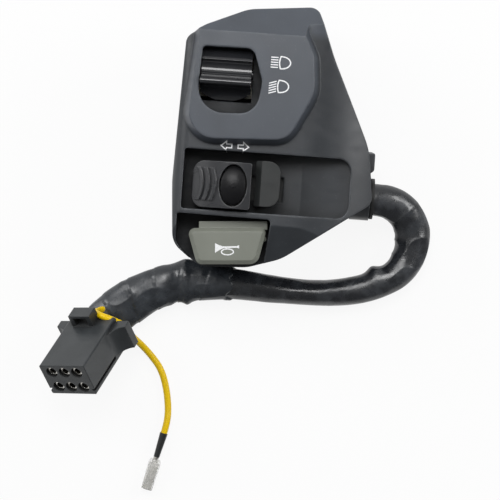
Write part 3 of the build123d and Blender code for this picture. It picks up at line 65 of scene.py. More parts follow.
def shade(red: int, green: int, blue: int) -> Colour:
    """A colour as the shaders want it, from its values on a screen.

    Args:
        red: Red on the screen, 0 to 255.
        green: Green on the screen, 0 to 255.
        blue: Blue on the screen, 0 to 255.

    Returns:
        Linear red, green and blue, and an opacity of 1.
    """
    screen = np.array([red, green, blue], float) / 255
    linear = np.where(screen <= 0.04045, screen / 12.92, ((screen + 0.055) / 1.055) ** 2.4)
    return (*(float(x) for x in linear), 1.0)


class Slot(Enum):
    """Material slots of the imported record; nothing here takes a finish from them."""

    SLEEVE = "sleeve_vinyl"
    YELLOW = "yellow_insulation"
    WIRE = "wire_insulation"
    STEEL = "steel"


class Body(Enum):
    """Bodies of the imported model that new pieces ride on."""

    HOUSING = "housing"
    TURN = "turn"
    HORN = "horn"


class NodeSheet:
    """The node tree of a material or a world, with short calls that add and join nodes."""

    def __init__(self, owner: Material | bpy.types.World) -> None:
        """Empties the owner's tree and adds its output node.

        Args:
            owner: The material or the world.
        """
        owner.use_nodes = True
        self.owner = owner
        self.tree = owner.node_tree
        self.tree.nodes.clear()
        kind = "World" if isinstance(owner, bpy.types.World) else "Material"
        self.output = self.node(f"ShaderNodeOutput{kind}")
        self.places = self.node("ShaderNodeTexCoord").outputs

    @classmethod
    def of_material(cls, name: str) -> "NodeSheet":
        """Starts the sheet of a new material."""
        return cls(bpy.data.materials.new(name))

    def node(self, kind: str, inputs: dict | None = None, **settings: object) -> bpy.types.Node:
        """Adds a node.

        Args:
            kind: Blender's name of the node's type.
            inputs: Values or output sockets for the node's inputs, by name or index.
            **settings: Properties of the node itself.

        Returns:
            The new node.
        """
        made = self.tree.nodes.new(kind)
        for name, value in settings.items():
            setattr(made, name, value)
        for name, value in (inputs or {}).items():
            if isinstance(value, Socket):
                self.tree.links.new(value, made.inputs[name])
            else:
                made.inputs[name].default_value = value
        return made

    def noise(self, size: float, detail: float = 2.0, stretch: Triple = (1, 1, 1)) -> Socket:
        """Cloudy noise on the object's own coordinates.

        Args:
            size: Width of a patch in millimetres.
            detail: How many finer layers lie on it.
            stretch: How much the pattern is drawn together along each axis.

        Returns:
            The factor, about 0.2 to 0.8.
        """
        placed = self.node("ShaderNodeMapping", {"Vector": self.places["Object"], "Scale": stretch})
        field_inputs = {"Vector": placed.outputs[0], "Scale": 1 / (size * MM), "Detail": detail}
        return self.node("ShaderNodeTexNoise", {**field_inputs, "Roughness": 0.55}).outputs["Fac"]

    def ramp(
        self, factor: Socket, low: float, high: float, start: float, end: float
    ) -> Socket:
        """Maps a factor evenly from one range to another and holds it at both ends.

        Args:
            factor: The factor.
            low: Where its own range starts.
            high: Where its own range ends.
            start: What low becomes.
            end: What high becomes.

        Returns:
            The mapped factor.
        """
        ranges = {"From Min": low, "From Max": high, "To Min": start, "To Max": end}
        return self.node("ShaderNodeMapRange", {"Value": factor, **ranges}, clamp=True).outputs[0]

    def join(self, operation: str, first: object, second: object) -> Socket:
        """Joins two values by a sum, a product or the larger of the two."""
        return self.node("ShaderNodeMath", {0: first, 1: second}, operation=operation).outputs[0]

    def mix(self, factor: object, first: object, second: object) -> Socket:
        """Mixes two colours by a factor."""
        return self.node("ShaderNodeMix", {0: factor, 6: first, 7: second}, data_type="RGBA").outputs[2]

    def soft_edge(self, radius: float) -> Socket:
        """Normal that rounds each hard edge by a radius in millimetres."""
        return self.node("ShaderNodeBevel", {"Radius": radius * MM}, samples=6).outputs[0]

    def edge_mask(self, rounded: Socket, reach: float) -> Socket:
        """How near a point is to a hard edge, from how far the rounded normal turns there.

        Args:
            rounded: The normal that rounds the edges.
            reach: Loss of the dot product of both normals that counts as the edge itself.

        Returns:
            The share, 0 on a flat face and 1 on an edge.
        """
        plain = self.node("ShaderNodeNewGeometry").outputs["Normal"]
        dot = self.node("ShaderNodeVectorMath", {0: rounded, 1: plain}, operation="DOT_PRODUCT")
        return self.ramp(dot.outputs["Value"], 1.0 - reach, 1.0, 1.0, 0.0)

    def bump(
        self, height: Socket, depth: float, normal: Socket | None = None
    ) -> Socket:
        """Bumps a surface by a height field.

        Args:
            height: The field, 0 to 1.
            depth: Height of a full step in millimetres.
            normal: The normal under it.

        Returns:
            The bumped normal.
        """
        inputs = {"Height": height, "Strength": 1.0, "Distance": depth * MM}
        if normal is not None:
            inputs["Normal"] = normal
        return self.node("ShaderNodeBump", inputs).outputs[0]

    def close(self, kind: str, inputs: dict) -> Material | bpy.types.World:
        """Adds the last node with its inputs and joins it to the output.

        Args:
            kind: Blender's name of the node's type.
            inputs: Values or output sockets for its inputs.

        Returns:
            The material or world that the sheet belongs to.
        """
        self.tree.links.new(self.node(kind, inputs).outputs[0], self.output.inputs[0])
        return self.owner

    def surface(self, **inputs: object) -> Material:
        """Closes the sheet with the principled shader, whose inputs have their names with underscores."""
        named = {name.replace("_", " "): value for name, value in inputs.items()}
        return self.close("ShaderNodeBsdfPrincipled", named)


DUST = shade(150, 150, 150)
# Colour of the painted shade that ambient occlusion lays into hollows.
HOLLOW_SHADE = shade(12, 12, 13)


@dataclass(frozen=True)
class MouldedPlastic:
    """Injection moulded plastic: spark-eroded grain, faint flow clouds, edges lightened by wear and by a
    painted highlight, dust, and where asked a painted light on the top face and painted shade in hollows.
    """

    name: str
    colour: Colour
    roughness: float
    grain_size: float = 0.35
    grain_depth: float = 0.01
    cloud: float = 0.10
    edge_radius: float = 0.3
    rub_and_highlight: Colour = shade(88, 89, 92)
    rub_and_highlight_share: float = 0.35
    dust_share: float = 0.0
    coat: float = 0.0
    painted_top_light: Colour | None = None
    raised_level: float = 27.3
    facet_start: float = 20.7
    hollow_shade_share: float = 0.0
    hollow_reach: float = 8.0
    gloss: float = 0.5
    flow_size: float = 11
    edge_patch_size: float = 2.6
    speck_size: float = 0.55
    smear_size: float = 6.0
    top_light_patch_size: float = 14
    top_light_ease: tuple[float, float] = (1.3, 1.1)
    facet_run: float = 20
    facet_drop: float = 18

    def material(self) -> Material:
        """Builds the node material.

        Returns:
            The material.
        """
        sheet = NodeSheet.of_material(self.name)
        colour = self.flow_colour(sheet)
        # Painted light: the top face and its top facet turn lighter, standing in for the top lamp's light.
        if self.painted_top_light is not None:
            colour = self.paint_top_light(sheet, colour)
        rounded = sheet.soft_edge(self.edge_radius)
        # Edges lighten in patches, partly from wear and partly as a painted highlight along the rims.
        patches = sheet.ramp(sheet.noise(self.edge_patch_size, 3), 0.38, 0.62, 0.2, 1.0)
        worn = sheet.join("MULTIPLY", sheet.edge_mask(rounded, 0.25), patches)
        colour = sheet.mix(sheet.join("MULTIPLY", worn, self.rub_and_highlight_share), colour, self.rub_and_highlight)
        if self.dust_share > 0:
            specks = sheet.ramp(sheet.noise(self.speck_size, 1), 0.70, 0.76, 0.0, self.dust_share)
            colour = sheet.mix(specks, colour, DUST)
        smears = sheet.ramp(sheet.noise(self.smear_size, 4, (1.0, 2.6, 1.0)), 0.35, 0.65, -0.05, 0.06)
        rough = sheet.join("ADD", smears, self.roughness)
        # Painted shade: hollows darken towards a near black by ambient occlusion, and grow rougher there.
        if self.hollow_shade_share > 0:
            reach = {"Distance": self.hollow_reach * MM}
            openness = sheet.node("ShaderNodeAmbientOcclusion", reach, samples=8).outputs["AO"]
            painted_shade = sheet.ramp(openness, 0.35, 0.86, self.hollow_shade_share, 0.0)
            colour = sheet.mix(painted_shade, colour, HOLLOW_SHADE)
            rough = sheet.join("ADD", rough, sheet.join("MULTIPLY", painted_shade, 0.5))
        return sheet.surface(
            Base_Color=colour,
            Roughness=rough,
            Normal=sheet.bump(sheet.noise(self.grain_size, 2), self.grain_depth, rounded),
            Specular_IOR_Level=self.gloss,
            Coat_Weight=self.coat,
            Coat_Roughness=0.08,
        )

    def flow_colour(self, sheet: NodeSheet) -> Socket:
        """The colour with faint clouds, where the plastic flowed into its mould.

        Args:
            sheet: The sheet of the material.

        Returns:
            The clouded colour.
        """
        base = np.array(self.colour)
        darker, lighter = ((*(base * share)[:3], 1.0) for share in (1 - self.cloud, 1 + self.cloud))
        flow = sheet.ramp(sheet.noise(self.flow_size, 3, (1.0, 0.5, 1.0)), 0.35, 0.65, 0.0, 1.0)
        return sheet.mix(flow, darker, lighter)

    def paint_top_light(self, sheet: NodeSheet, colour: Socket) -> Socket:
        """Paints light onto the top face: a lighter colour stands in for the top lamp's light on it.

        The painted light eases in at a level. Behind the line where the top facet falls
        away, the level falls with it.

        Args:
            sheet: The sheet of the material.
            colour: The colour elsewhere.

        Returns:
            The colour with the painted light.
        """
        parts = sheet.node("ShaderNodeSeparateXYZ", {0: sheet.places["Object"]})
        facet = (self.facet_start * MM, (self.facet_start + self.facet_run) * MM)
        behind = sheet.ramp(parts.outputs["Y"], *facet, 0.0, self.facet_drop * MM)
        height = sheet.join("ADD", parts.outputs["Z"], behind)
        under, over = self.top_light_ease
        span = ((self.raised_level - under) * MM, (self.raised_level + over) * MM)
        share = sheet.ramp(height, *span, 0.0, 1.0)
        # The painted light's strength wanders in patches.
        top_light_patches = sheet.ramp(sheet.noise(self.top_light_patch_size, 2), 0.35, 0.65, 0.75, 1.0)
        return sheet.mix(sheet.join("MULTIPLY", share, top_light_patches), colour, self.painted_top_light)


@dataclass(frozen=True)
class PlatedMetal:
    """Stamped or turned metal with drawn streaks and a little tarnish."""

    name: str
    colour: Colour
    tarnish: Colour
    roughness: float = 0.28
    streak: Triple = (1.0, 6.0, 1.0)

    def material(self) -> Material:
        """Builds the node material.

        Returns:
            The material.
        """
        sheet = NodeSheet.of_material(self.name)
        stains = sheet.ramp(sheet.noise(1.6, 4), 0.42, 0.70, 0.0, 0.7)
        colour = sheet.mix(stains, self.colour, self.tarnish)
        streaks = sheet.noise(0.5, 2, self.streak)
        rough = sheet.ramp(streaks, 0.3, 0.7, self.roughness - 0.08, self.roughness + 0.12)
        normal = sheet.bump(streaks, 0.006, sheet.soft_edge(0.12))
        return sheet.surface(Base_Color=colour, Metallic=1.0, Roughness=rough, Normal=normal)


@dataclass(frozen=True)
class SoftVinyl:
    """Soft vinyl of a sleeve, a tape or a wire's skin, with fine creases and lighter patches, partly the
    vinyl's own whitish film and partly a painted sheen.
    """

    name: str
    colour: Colour
    roughness: float = 0.22
    crease_size: float = 2.2
    crease_depth: float = 0.05
    bloom_and_sheen: Colour = shade(70, 71, 75)
    bloom_and_sheen_share: float = 0.3
    gloss: float = 0.5
    grain_depth: float = 0.004

    def material(self) -> Material:
        """Builds the node material.

        Returns:
            The material.
        """
        sheet = NodeSheet.of_material(self.name)
        # Lighter patches: the vinyl's own whitish film, and on sleeve and tape also a painted sheen.
        bloom_and_sheen = sheet.ramp(sheet.noise(5.0, 4), 0.45, 0.75, 0.0, self.bloom_and_sheen_share)
        colour = sheet.mix(bloom_and_sheen, self.colour, self.bloom_and_sheen)
        rough = sheet.ramp(sheet.noise(3.5, 3), 0.3, 0.7, self.roughness - 0.06, self.roughness + 0.14)
        creases = sheet.bump(sheet.noise(self.crease_size, 3, (1.0, 1.6, 1.0)), self.crease_depth)
        normal = sheet.bump(sheet.noise(0.4, 1), self.grain_depth, creases)
        return sheet.surface(Base_Color=colour, Roughness=rough, Normal=normal, Specular_IOR_Level=self.gloss)


@dataclass(frozen=True)
class ClearVinyl:
    """Clear soft vinyl with a faint haze, as on the bullet's sleeve."""

    name: str = "clear_vinyl_skin"

    def material(self) -> Material:
        """Builds the node material.

        Returns:
            The material.
        """
        sheet = NodeSheet.of_material(self.name)
        haze = sheet.ramp(sheet.noise(1.2, 3), 0.35, 0.65, 0.10, 0.20)
        normal = sheet.bump(sheet.noise(2.4, 1), 0.03)
        return sheet.surface(
            Base_Color=(0.96, 0.96, 0.95, 1.0),
            Roughness=haze,
            Normal=normal,
            IOR=1.22,
            Transmission_Weight=0.82,
        )


@dataclass(frozen=True)
class PrintedInk:
    """White pad-printed ink, thin and slightly worn."""

    name: str = "printed_white"

    def material(self) -> Material:
        """Builds the node material.

        Returns:
            The material.
        """
        sheet = NodeSheet.of_material(self.name)
        wear = sheet.ramp(sheet.noise(0.5, 3), 0.30, 0.50, 0.0, 1.0)
        colour = sheet.mix(wear, shade(196, 198, 200), shade(232, 233, 234))
        normal = sheet.bump(sheet.noise(0.25, 1), 0.004)
        return sheet.surface(Base_Color=colour, Roughness=0.55, Normal=normal)


def grid_faces(rows: int, columns: int, wrap: bool) -> np.ndarray:
    """Quads of a grid of points, numbered row by row.

    Args:
        rows: Rows of the grid.
        columns: Columns of the grid.
        wrap: Whether the last column joins the first.

    Returns:
        Corner numbers, four to a face. Each goes along the columns first and
        then the rows, so a tube whose columns turn to the left faces outwards.
    """
    row = np.arange(rows - 1)[:, None]
    column = np.arange(columns if wrap else columns - 1)[None, :]
    beside = (column + 1) % columns
    corners = [row * columns + column, row * columns + beside]
    corners += [(row + 1) * columns + beside, (row + 1) * columns + column]
    return np.stack(np.broadcast_arrays(*corners), -1).reshape(-1, 4)


def linked(name: str, data: bpy.types.ID) -> Piece:
    """Makes an object from its data and links it to the scene."""
    made = bpy.data.objects.new(name, data)
    bpy.context.scene.collection.objects.link(made)
    return made


def put_mesh(name: str, points: np.ndarray, faces: list, smooth: bool = True) -> Piece:
    """Makes an object at the origin from points in millimetres.

    Args:
        name: Name of the piece.
        points: Corner points, n by 3.
        faces: Corner numbers of each face.
        smooth: Whether the faces are shaded smooth.

    Returns:
        The linked object.
    """
    mesh = bpy.data.meshes.new(name)
    mesh.from_pydata((points * MM).tolist(), [], [list(face) for face in faces])
    mesh.polygons.foreach_set("use_smooth", np.full(len(mesh.polygons), smooth))
    mesh.update()
    return linked(name, mesh)


def closed_tube(name: str, rings: np.ndarray) -> Piece:
    """Makes a closed skin from rings of points, with a pole at each end.

    Args:
        name: Name of the piece.
        rings: Points as rows by columns by 3, the columns turning to the left of the way.

    Returns:
        The linked object. Its poles are the means of the first and last rings.
    """
    rows, columns = rings.shape[:2]
    points = np.concatenate([rings.reshape(-1, 3), rings[:1].mean(1), rings[-1:].mean(1)])
    start, end = rows * columns, rows * columns + 1
    ring = np.arange(columns)
    beside = (ring + 1) % columns
    last = (rows - 1) * columns
    caps = np.stack([beside, ring, np.full(columns, start)], -1).tolist()
    caps += np.stack([last + ring, last + beside, np.full(columns, end)], -1).tolist()
    return put_mesh(name, points, grid_faces(rows, columns, True).tolist() + caps)


def cloud(shape: tuple[int, int], cells: tuple[int, int], seed: int) -> np.ndarray:
    """Smooth noise on a grid that joins up round its columns.

    Random values stand on a coarse lattice, and between them the value eases
    with three t squared less two t cubed along both ways.

    Args:
        shape: Rows and columns of the grid.
        cells: Cells of the lattice along and around.
        seed: Seed of the random values.

    Returns:
        Values from -1 to 1.
    """
    lattice = np.random.default_rng(seed).uniform(-1, 1, (cells[0] + 1, cells[1]))
    along = np.linspace(0, cells[0] - 1e-6, shape[0])
    around = np.arange(shape[1]) / shape[1] * cells[1]
    i, j = along.astype(int), around.astype(int)
    u, v = along - i, around - j
    u, v = (u * u * (3 - 2 * u))[:, None], (v * v * (3 - 2 * v))[None, :]
    beside = (j + 1) % cells[1]
    low = lattice[i][:, j] * (1 - v) + lattice[i][:, beside] * v
    high = lattice[i + 1][:, j] * (1 - v) + lattice[i + 1][:, beside] * v
    return low * (1 - u) + high * u


def creases(shape: tuple[int, int], cells: tuple[int, int], seed: int) -> np.ndarray:
    """Sharp folds on a grid: one less the size of a cloud, so its zero lines stand up as ridges."""
    return 1 - 2 * np.sqrt(np.abs(cloud(shape, cells, seed)))


def bell(places: np.ndarray, centre: float, width: float) -> np.ndarray:
    """A bell curve of height 1 round a centre."""
    return np.exp(-(((places - centre) / width) ** 2))


def step(places: np.ndarray, start: float | np.ndarray, width: float) -> np.ndarray:
    """An eased step from 0 to 1 that starts at a place and is this wide."""
    share = np.clip((places - start) / width, 0, 1)
    return share * share * (3 - 2 * share)


def unit(rows: np.ndarray) -> np.ndarray:
    """Each row at a length of 1."""
    return rows / np.linalg.norm(rows, axis=1)[:, None]


def sides_of(way: np.ndarray) -> tuple[np.ndarray, np.ndarray]:
    """Left side and upper side of a way: the side is level, and both are square to the way.

    Args:
        way: Directions of length 1, n by 3.

    Returns:
        The left sides and the upper sides, n by 3.
    """
    side = unit(np.cross(np.array([0.0, 0.0, 1.0]), way))
    return side, np.cross(way, side)


@dataclass(frozen=True)
class Route:
    """The way of a cord, as the control points of its smooth line in millimetres."""

    name: str
    points: tuple[Triple, ...]

    def curve(self, radius: float = 0.0, resolution: int = 12) -> Piece:
        """Makes the spline with these control points.

        Args:
            radius: Radius of the round skin in millimetres, or 0 for the bare line.
            resolution: Steps between two control points.

        Returns:
            The linked curve object.
        """
        data = bpy.data.curves.new(self.name, "CURVE")
        data.dimensions = "3D"
        data.resolution_u = resolution
        data.bevel_depth = radius * MM
        data.bevel_resolution = 6
        data.use_fill_caps = radius > 0
        spline = data.splines.new("NURBS")
        spline.points.add(len(self.points) - 1)
        places = np.array([(*point, 1 / MM) for point in self.points]) * MM
        spline.points.foreach_set("co", places.ravel())
        spline.order_u = 3
        spline.use_endpoint_u = True
        return linked(self.name, data)

    def line(self) -> np.ndarray:
        """Reads the smooth line from the bare spline.

        Returns:
            Its points in millimetres, n by 3, with no point twice.
        """
        bare = self.curve(resolution=24)
        bpy.context.view_layer.update()
        graph = bpy.context.evaluated_depsgraph_get()
        mesh = bpy.data.meshes.new_from_object(bare.evaluated_get(graph))
        places = np.empty(len(mesh.vertices) * 3)
        mesh.vertices.foreach_get("co", places)
        data = bare.data
        bpy.data.objects.remove(bare)
        bpy.data.curves.remove(data)
        bpy.data.meshes.remove(mesh)
        places = places.reshape(-1, 3) / MM
        apart = np.linalg.norm(np.diff(places, axis=0), axis=1) > 1e-4
        return places[np.concatenate([[True], apart])]


@dataclass
class Centreline:
    """A smooth line with its length, its places and the frame across it."""

    points: np.ndarray
    probe: float = 1.0

    def __post_init__(self) -> None:
        """Adds up the length along the line."""
        runs = np.linalg.norm(np.diff(self.points, axis=0), axis=1)
        self.reach = np.concatenate([[0.0], np.cumsum(runs)])

    @property
    def length(self) -> float:
        """Length of the line in millimetres."""
        return float(self.reach[-1])

    def station(self, x: float, y: float) -> float:
        """Length along the line to the place nearest a point on the face."""
        away = np.hypot(self.points[:, 0] - x, self.points[:, 1] - y)
        return float(self.reach[np.argmin(away)])

    def at(self, stations: np.ndarray) -> np.ndarray:
        """Places at these lengths along the line."""
        return np.stack([np.interp(stations, self.reach, self.points[:, k]) for k in range(3)], -1)

    def frame_at(self, stations: np.ndarray) -> tuple[np.ndarray, np.ndarray, np.ndarray]:
        """Way, left side and upper side, from the places a little ahead and behind.

        Args:
            stations: Lengths along the line.

        Returns:
            The three directions at each length, n by 3.
        """
        ahead, behind = np.minimum(stations + self.probe, self.length), np.maximum(stations - self.probe, 0)
        way = unit(self.at(ahead) - self.at(behind))
        return way, *sides_of(way)


@dataclass
class HarnessSleeve:
    """Black vinyl sleeve of the harness and its tape wrap."""

    route: Route = Route(
        "harness_sleeve_skin",
        (
            (32.2, -25.4, -9.0),
            (37.6, -25.4, -9.0),
            (42.8, -26.9, -10.3),
            (46.8, -30.8, -11.8),
            (49.0, -36.4, -13.0),
            (48.6, -42.7, -13.0),
            (45.6, -48.2, -13.0),
            (40.6, -52.2, -13.0),
            (34.3, -54.8, -13.0),
            (26.0, -56.6, -13.0),
            (17.0, -57.4, -13.0),
            (7.0, -57.2, -13.0),
            (-3.5, -56.3, -13.0),
            (-14.5, -56.0, -13.0),
            (-24.6, -56.2, -13.0),
            (-32.6, -58.6, -13.0),
            (-37.0, -61.15, -13.0),
            (-41.1, -63.8, -13.0),
            (-45.2, -66.8, -13.0),
            (-48.4, -69.9, -13.0),
            (-50.2, -72.0, -13.0),
        ),
    )
    radius: float = 5.0
    grommet_mouth: Triple = (34.9, -25.4, -9.0)
    declared_length: float = 0.137
    columns: int = 120
    row_pitch: float = 0.45
    wall: float = 0.55
    settled: float = 0.3
    lying_area: float = 23.0
    least_half: float = 4.6
    tall_over: float = 0.9
    lying_from: tuple[float, float] = (46.8, -30.8)
    lying_ease: float = 14.0
    floor_gap: float = 0.15
    floor_skin: float = 0.04
    widths: tuple[Triple, ...] = (
        (32.2, -25.4, 9.9),
        (37.0, -25.4, 10.6),
        (42.0, -27.0, 11.4),
        (48.4, -37.0, 11.4),
        (47.0, -45.5, 10.6),
        (40.6, -51.6, 9.4),
        (34.0, -54.6, 9.0),
        (22.0, -57.0, 8.6),
        (12.0, -57.3, 8.9),
        (2.0, -56.8, 9.3),
        (-10.0, -56.2, 10.2),
        (-19.0, -56.0, 11.2),
        (-24.4, -56.3, 13.6),
        (-28.5, -57.2, 12.4),
        (-33.0, -58.8, 12.4),
        (-41.1, -63.8, 13.2),
        (-50.2, -72.0, 13.2),
    )
    pinch: tuple[float, float] = (38.6, -52.8)
    kink: tuple[float, float] = (-24.4, -56.3)
    tape_start: tuple[float, float] = (-8.2, -56.2)
    tape_lift: float = 0.35
    tape_step: float = 0.22
    tape_width: float = 8.5
    lump_heights: tuple[float, float] = (0.22, 0.14)
    fold_heights: Triple = (0.05, 0.26, 0.20)
    pinch_height: float = 1.7
    kink_height: float = 0.6

    def build(self, sleeve_finish: Material, tape_finish: Material) -> tuple[Piece, Piece]:
        """Builds the sleeve and the tape on it, and dresses both.

        Args:
            sleeve_finish: Finish of the sleeve.
            tape_finish: Finish of the tape.

        Returns:
            The sleeve and the tape.
        """
        self.line = Centreline(self.route.line())
        self.angles = np.linspace(0, 2 * np.pi, self.columns, endpoint=False)
        rows = int(self.line.length / self.row_pitch) + 1
        stations = np.linspace(0, self.line.length, rows)
        lift = self.wrinkles(stations)
        skin = np.concatenate([self.skin(stations[:, None], lift), self.mouth(lift[-1:])])
        sleeve = closed_tube("harness_sleeve_skin", skin)
        sleeve.data.materials.append(sleeve_finish)
        tape = self.tape(lift)
        tape.data.materials.append(tape_finish)
        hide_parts("harness_sleeve")
        for piece in (sleeve, tape):
            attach(piece, Body.HOUSING.value)
        log.info("sleeve: %.1f mm of line, %d rings", self.line.length, rows)
        return sleeve, tape

    def declare(self, sleeve: Piece, others: list[Piece]) -> None:
        """Args:
            sleeve: The sleeve; not used.
            others: The pieces that go with it; not used.
        """

    def half_width(self, stations: np.ndarray) -> np.ndarray:
        """Half the sleeve's width, evenly between the widths read from the photograph."""
        places = [self.line.station(x, y) for x, y, _ in self.widths]
        return np.interp(stations, places, [width / 2 for _, _, width in self.widths])

    def skin(self, along: np.ndarray, height: np.ndarray) -> np.ndarray:
        """Points of the skin, where each point of the grid may have its own length along the line.

        A ring is an ellipse. Its half height is an area over its half width, so
        it flattens as it widens. It lies on the floor from where the line does,
        and the height stands out along the ring's own ray.

        Args:
            along: Lengths along the line, rows by columns or rows by 1.
            height: Heights above the ring, rows by columns.

        Returns:
            Points, rows by columns by 3.
        """
        flat = np.broadcast_to(along, height.shape).ravel()
        centre = self.line.at(flat)
        _, side, up = self.line.frame_at(flat)
        wide = self.half_width(flat)
        tall = np.minimum(self.radius - self.settled, self.lying_area / np.maximum(wide, self.least_half))
        tall = np.minimum(tall, wide + self.tall_over)
        lying = step(flat, self.line.station(*self.lying_from), self.lying_ease)
        centre[:, 2] = centre[:, 2] * (1 - lying) + (FLOOR_LEVEL + self.floor_gap + tall) * lying
        around = np.broadcast_to(self.angles[None, :], height.shape).ravel()
        sideways = (wide + height.ravel()) * np.cos(around)
        upward = (tall + height.ravel()) * np.sin(around)
        points = centre + sideways[:, None] * side + upward[:, None] * up
        points[:, 2] = np.maximum(points[:, 2], FLOOR_LEVEL + self.floor_skin)
        return points.reshape(*height.shape, 3)

    def wrinkles(self, stations: np.ndarray) -> np.ndarray:
        """Heights of the creased vinyl above a plain tube.

        Long lumps of the wires inside, folds that grow at the bend and along
        the taped end, one pinched fold inside the bend and one kink where the
        bundle turns towards the plug.

        Args:
            stations: Length along the line of each row.

        Returns:
            Heights, rows by columns.
        """
        shape = (len(stations), self.columns)
        length = self.line.length
        long_lump, short_lump = self.lump_heights
        lumps = long_lump * cloud(shape, (int(length / 16), 5), 3)
        lumps += short_lump * cloud(shape, (int(length / 7), 7), 4)
        folds = creases(shape, (int(length / 9), 6), 5) + 0.3 * creases(shape, (int(length / 5.5), 8), 6)
        bend = bell(stations, self.line.station(48.4, -34.0), 16.0)
        taped = step(stations, self.line.station(*self.tape_start) - 3, 10.0)
        everywhere, at_bend, at_tape = self.fold_heights
        weight = (everywhere + at_bend * bend + at_tape * taped)[:, None]
        around = self.angles[None, :]
        pinch_row = bell(stations, self.line.station(*self.pinch), 3.0)[:, None]
        inner_side = bell(around, np.pi * 0.96, 0.75)
        kink_at = self.line.station(*self.kink)
        ridge = bell(stations, kink_at, 1.4) - 0.8 * bell(stations, kink_at + 3.2, 2.0)
        top = 0.35 + 0.65 * np.clip(np.sin(around + 0.5), 0, 1)
        lift = lumps + weight * folds + self.pinch_height * pinch_row * inner_side
        return (lift + self.kink_height * ridge[:, None] * top) * step(stations, 0.0, 5.0)[:, None]

    def mouth(self, lift: np.ndarray) -> np.ndarray:
        """Rings that turn over the sleeve's open end and go back inside it.

        The lip is half a circle as wide as the wall, the inner wall runs 5 mm
        back and the last ring closes behind the leads.

        Args:
            lift: Heights of the sleeve's last ring above a plain tube, 1 by columns.

        Returns:
            Points, rings by columns by 3.
        """
        end = np.array([self.line.length])
        way, _, _ = self.line.frame_at(end)
        rings = []
        for turn in np.linspace(0.25, np.pi, 5):
            ring = self.skin(end[:, None], lift - self.wall / 2 * (1 - np.cos(turn)))
            rings.append(ring + way * (self.wall / 2 * np.sin(turn)))
        back = end - np.array([[1.0], [2.5], [4.0], [5.0]])
        inner = self.skin(back, np.repeat(lift, len(back), axis=0) - self.wall)
        middle = inner[-1:].mean(1, keepdims=True)
        return np.concatenate([*rings, inner, middle + (inner[-1:] - middle) * 0.5])

    def tape(self, lift: np.ndarray) -> Piece:
        """Thin tape wound over the last third of the sleeve, with a torn first edge.

        The first ring's place along the line wanders round the tube, so the
        edge is torn. The wound film steps up a little at each turn, which runs
        round the tube as a slanted line.

        Args:
            lift: Heights of the sleeve above a plain tube, rows by columns.

        Returns:
            The tape.
        """
        length, sleeve_rows = self.line.length, len(lift)
        first = self.line.station(*self.tape_start)
        rows = int((length - first) / self.row_pitch)
        share = np.linspace(0, 1, rows)[:, None]
        edge = 1.6 * cloud((2, self.columns), (1, 9), 8)[0] + 0.7 * cloud((2, self.columns), (1, 23), 9)[0]
        along = first + edge[None, :] * (1 - share) ** 6 + share * (length - 0.4 - first)
        sleeve_row = along / length * (sleeve_rows - 1)
        low = np.clip(sleeve_row.astype(int), 0, sleeve_rows - 2)
        part = sleeve_row - low
        column = np.arange(self.columns)[None, :]
        height = lift[low, column] * (1 - part) + lift[low + 1, column] * part
        turns = np.mod(along / self.tape_width + self.angles[None, :] / (2 * np.pi), 1.0)
        film = self.tape_lift + self.tape_step * turns
        closing = step(share * rows, 0.0, 2.0) * film - 0.12 * (share == 0)
        outer = self.skin(along, height + closing)
        middle = outer[-1:].mean(1, keepdims=True)
        rim = middle + (outer[-1:] - middle) * 0.93
        inner = self.skin(along[::-1], height[::-1] - 0.10)
        rings = np.concatenate([outer, rim, inner])
        faces = grid_faces(len(rings), self.columns, True)
        here = np.arange(self.columns)
        beside, last = (here + 1) % self.columns, (len(rings) - 1) * self.columns
        seam = np.stack([here + last, beside + last, beside, here], -1)
        return put_mesh("harness_tape", rings.reshape(-1, 3), np.concatenate([faces, seam]).tolist())


@dataclass
class PlugLeads:
    """Six leads from the sleeve's end to the back of the plug."""

    plug_front: Triple = (-58.56, -89.76, 7.0)
    ahead: Triple = (-0.3281, -0.6523, 0.6833)
    side: Triple = (0.8934, -0.4493, 0.0)
    roll: float = 42.3
    depth: float = 23.5
    pitch: float = 4.73
    row_pitch: float = 6.1
    bundle_end: Triple = (-49.4, -71.2, -13.0)
    away: Triple = (-0.7719, -0.6357, 0.0)
    bundle_x: Triple = (-0.6357, 0.7719, 0.0)
    bundle_y: Triple = (0.0, 0.0, -1.0)
    bundle_places: tuple[tuple[float, float], ...] = (
        (1.6, 3.1),
        (-1.4, 3.2),
        (-3.4, 1.2),
        (3.4, 0.9),
        (0.0, 0.2),
        (-3.0, -1.7),
    )
    plug_lead: float = 3.5
    bundle_lead: float = 1.2
    radius: float = 0.95
    colours: tuple[str, ...] = ("brown", "orange", "green", "black", "white", "blue")

    def routes(self) -> list[Route]:
        """Ways of the leads: square out of the plug, then square into the bundle.

        Returns:
            One route for each lead, in the order of the colours.
        """
        ahead, side = np.array(self.ahead), np.array(self.side)
        roll = np.radians(self.roll)
        across = np.cos(roll) * side + np.sin(roll) * np.cross(ahead, side)
        up = np.cross(ahead, across)
        back = np.array(self.plug_front) - self.depth * ahead
        grid = [(column, row) for row in (-1, 1) for column in (-1, 0, 1)]
        ways = []
        for (column, row), (x, y), colour in zip(grid, self.bundle_places, self.colours):
            start = back + column * self.pitch * across + row * self.row_pitch / 2 * up
            end = np.array(self.bundle_end) + x * np.array(self.bundle_x) + y * np.array(self.bundle_y)
            ways.append(
                Route(
                    f"plug_lead_{colour}",
                    (
                        tuple(start + 1.0 * ahead),
                        tuple(start - self.plug_lead * ahead),
                        tuple(end + self.bundle_lead * np.array(self.away)),
                        tuple(end - 3.0 * np.array(self.away)),
                    ),
                )
            )
        return ways

    def build(self, finishes: dict[str, Material]) -> list[Piece]:
        """Builds and dresses the leads.

        Args:
            finishes: The finish for each lead's colour.

        Returns:
            The leads.
        """
        made = []
        for way, colour in zip(self.routes(), self.colours):
            lead = way.curve(self.radius)
            lead.data.materials.append(finishes[colour])
            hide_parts("connector_wires")
            made.append(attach(lead, Body.HOUSING.value))
        log.info("plug leads: %d", len(made))
        return made


